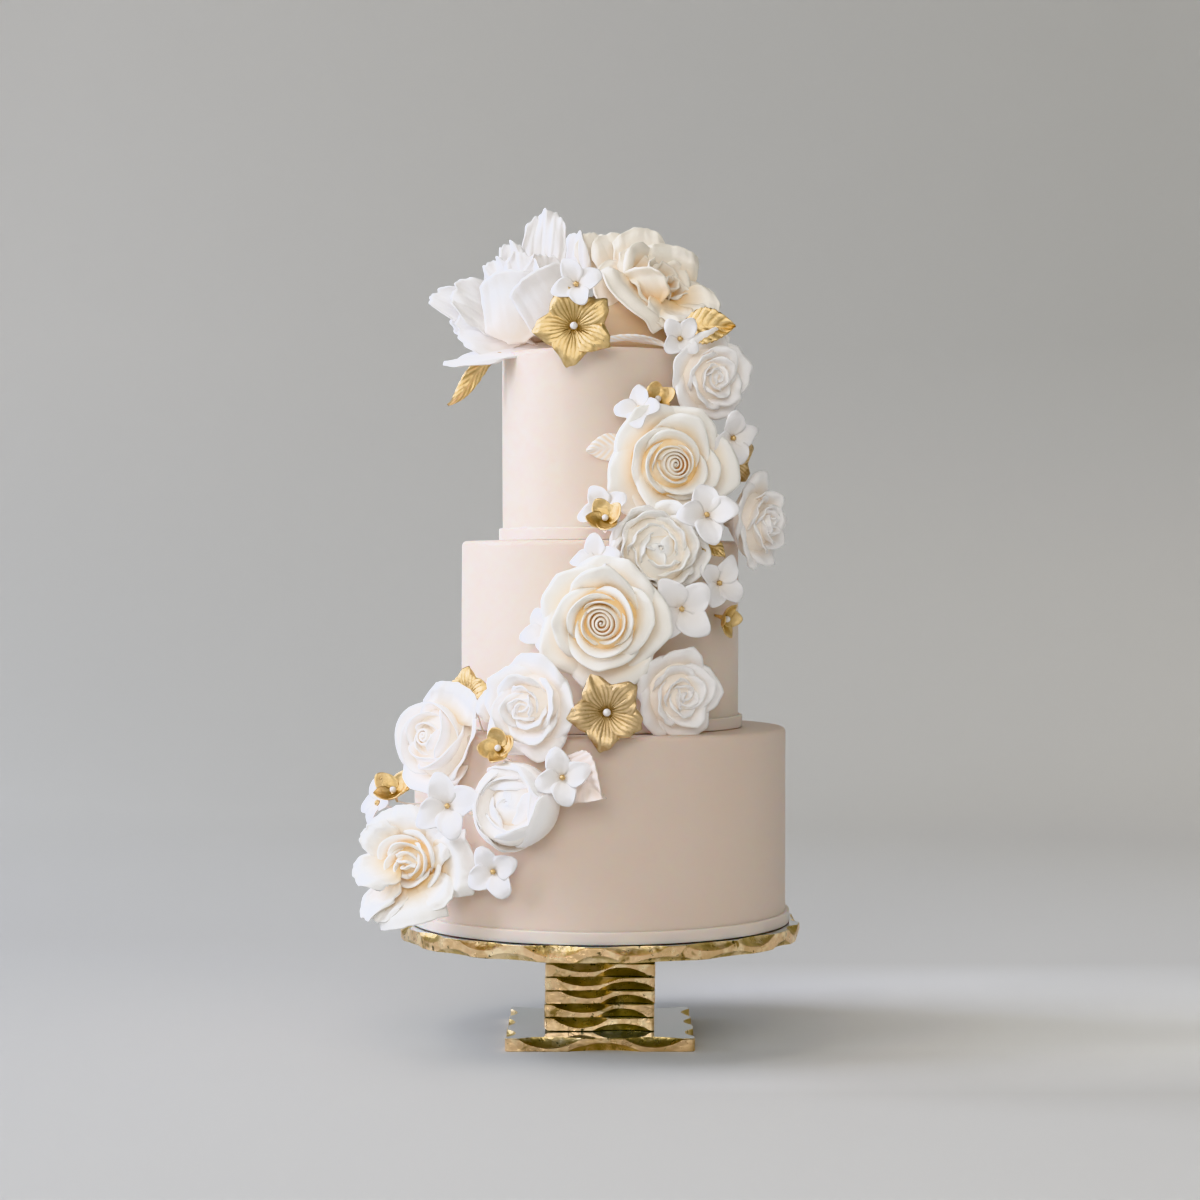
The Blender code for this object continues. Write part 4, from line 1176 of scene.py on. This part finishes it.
MATERIALS = {
    # sugar pastes: the paste's own colour, then the warmer, darker colour of its painted shade deep in the
    # flower
    "white": sugar_paste("white_sugar", (0.95, 0.935, 0.93), (0.93, 0.78, 0.58)),
    # painted shade: a greyer copy of the white sugar for the peony, whose petals face away from the light
    "pale": sugar_paste("peony_shaded_sugar", (0.90, 0.885, 0.88), (0.90, 0.79, 0.69)),
    "ivory": sugar_paste("ivory_sugar", (0.94, 0.925, 0.90), (0.88, 0.62, 0.28)),
    "milk": sugar_paste("milk_sugar", (0.95, 0.94, 0.92), (0.90, 0.69, 0.40)),
    "cream": sugar_paste("cream_sugar", (0.945, 0.925, 0.88), (0.92, 0.68, 0.36)),
    "honey": sugar_paste("honey_sugar", (0.91, 0.855, 0.76), (0.86, 0.58, 0.27)),
    # blush pink sugar, darkened as painted shade for the flowers that shade the leaf
    "blush": sugar_paste("blush_sugar", (0.80, 0.71, 0.64), (0.78, 0.66, 0.56)),
    # painted shade: a greyer copy of the white sugar for the blossoms, whose thin petals let the light
    # through
    "thin_shaded": sugar_paste("thin_shaded_sugar", (0.86, 0.845, 0.85), (0.86, 0.79, 0.70)),
    "fondant": fondant("fondant_icing", (0.765, 0.66, 0.565), (0.755, 0.64, 0.545)),
    # painted shade: a darker copy of the fondant for the bottom tier
    "shaded_fondant": fondant("shaded_bottom_icing", (0.745, 0.622, 0.533), (0.735, 0.607, 0.513)),
    # painted shade with a painted gold reflection: the dome's icing is a golden brown copy of the fondant
    "dome": fondant("shaded_dome_icing", (0.64, 0.47, 0.31), (0.60, 0.43, 0.27)),
    "border": fondant("border_icing", (0.78, 0.69, 0.62), (0.77, 0.67, 0.60)),
    # gildings: the gold's own colour, the brown of its painted shade in the hollows, and its roughness
    "gilt": gilding("gilt_sugar", (0.93, 0.71, 0.38), (0.44, 0.28, 0.10), 0.27),
    "bronze_gilt": gilding("bronze_gilt", (0.90, 0.69, 0.42), (0.42, 0.28, 0.12), 0.27),
    "gilt_bead": gilding("gilt_bead", (0.84, 0.62, 0.32), (0.56, 0.37, 0.16), 0.34),
    "gold_leaf": gold_leaf(),
    "glass": stand_glass(),
    "pearl": pearl(),
    "backdrop": backdrop(),
}

# The record's slot of the materials that have no slot of their own name.
SLOTS = {tint: "white" for tint in ("pale", "milk", "thin_shaded", "blush")}
SLOTS.update({"honey": "cream", "ivory": "cream", "bronze_gilt": "gilt"})
SLOTS.update({"shaded_fondant": "fondant", "dome": "fondant"})


# ---- stage ----


def finish(obj, node):
    """Hangs a piece under the root and hides the CAD node that it stands for."""
    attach(obj, "root")
    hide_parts(node)


def build_stage():
    """Round floor that sweeps up into the backdrop on every side."""
    reach, bend, rise = 2.6, 1.4, 3.2
    arc = [math.pi / 2 * i / 24 for i in range(25)]
    profile = [(0.0, 0.0), (0.5, 0.0), (reach - bend, 0.0)]
    profile += [(reach - bend + bend * math.sin(a), bend - bend * math.cos(a)) for a in arc[1:]]
    profile += [(reach, rise)]
    body = Body()
    body.skin(lathe(profile, 128))
    body.make("floor", "backdrop")


LIGHT_CENTRE = Vector((0.0, 0.0, 0.25))
LIGHT_DISTANCE = 2.35
LIGHT_SIDE = 1.45


def soft_box(name, turn, tilt, power, colour):
    """Square light that looks at the cake's middle."""
    data = bpy.data.lights.new(name, "AREA")
    data.shape = "RECTANGLE"
    data.size = data.size_y = LIGHT_SIDE
    data.energy = power
    data.color = colour
    light = placed(name, data)
    light.location = LIGHT_CENTRE + LIGHT_DISTANCE * facing(turn, tilt)
    light.rotation_euler = (LIGHT_CENTRE - light.location).to_track_quat("-Z", "Y").to_euler()
    light.visible_camera = False


def build_lights():
    """Four soft boxes: each has its turn from the front, its height angle, power and colour."""
    boxes = (
        ("left", -88, 23, 57, (0.89, 0.985, 1.25)),
        ("high_left", -70, 58, 17, (1.0, 1.0, 1.0)),
        ("front", -8, 14, 23, (1.0, 0.985, 0.97)),
        ("right", 32, 38, 3, (1.0, 0.95, 0.87)),
    )
    for box in boxes:
        soft_box(*box)
    world = bpy.data.worlds.new("studio")
    world.use_nodes = True
    background = world.node_tree.nodes["Background"]
    background.inputs["Color"].default_value = (1.0, 0.97, 0.93, 1.0)
    background.inputs["Strength"].default_value = 0.20
    bpy.context.scene.world = world


def build_camera():
    """Seen a little above the cake's middle, looking almost level."""
    data = bpy.data.cameras.new("camera")
    data.lens = 78.0
    data.sensor_width = 36.0
    camera = placed("camera", data)
    camera.location = (0.0, -1.508, 0.269)
    camera.rotation_euler = (math.radians(89.38), 0.0, 0.0)
    bpy.context.scene.camera = camera


def main():
    build_camera()
    build_stage()
    build_lights()
    build_stand()
    build_tiers()
    for items, build in ((FLOWERS, build_flower), (LEAVES, build_leaf)):
        for item in items:
            finish(build(item), item.name)
    wires = build_stems()
    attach(wires, "root")
    bpy.context.scene.view_settings.view_transform = "Khronos PBR Neutral"
    bpy.context.scene.cycles.max_bounces = 16
    bpy.context.scene.cycles.diffuse_bounces = 14


main()
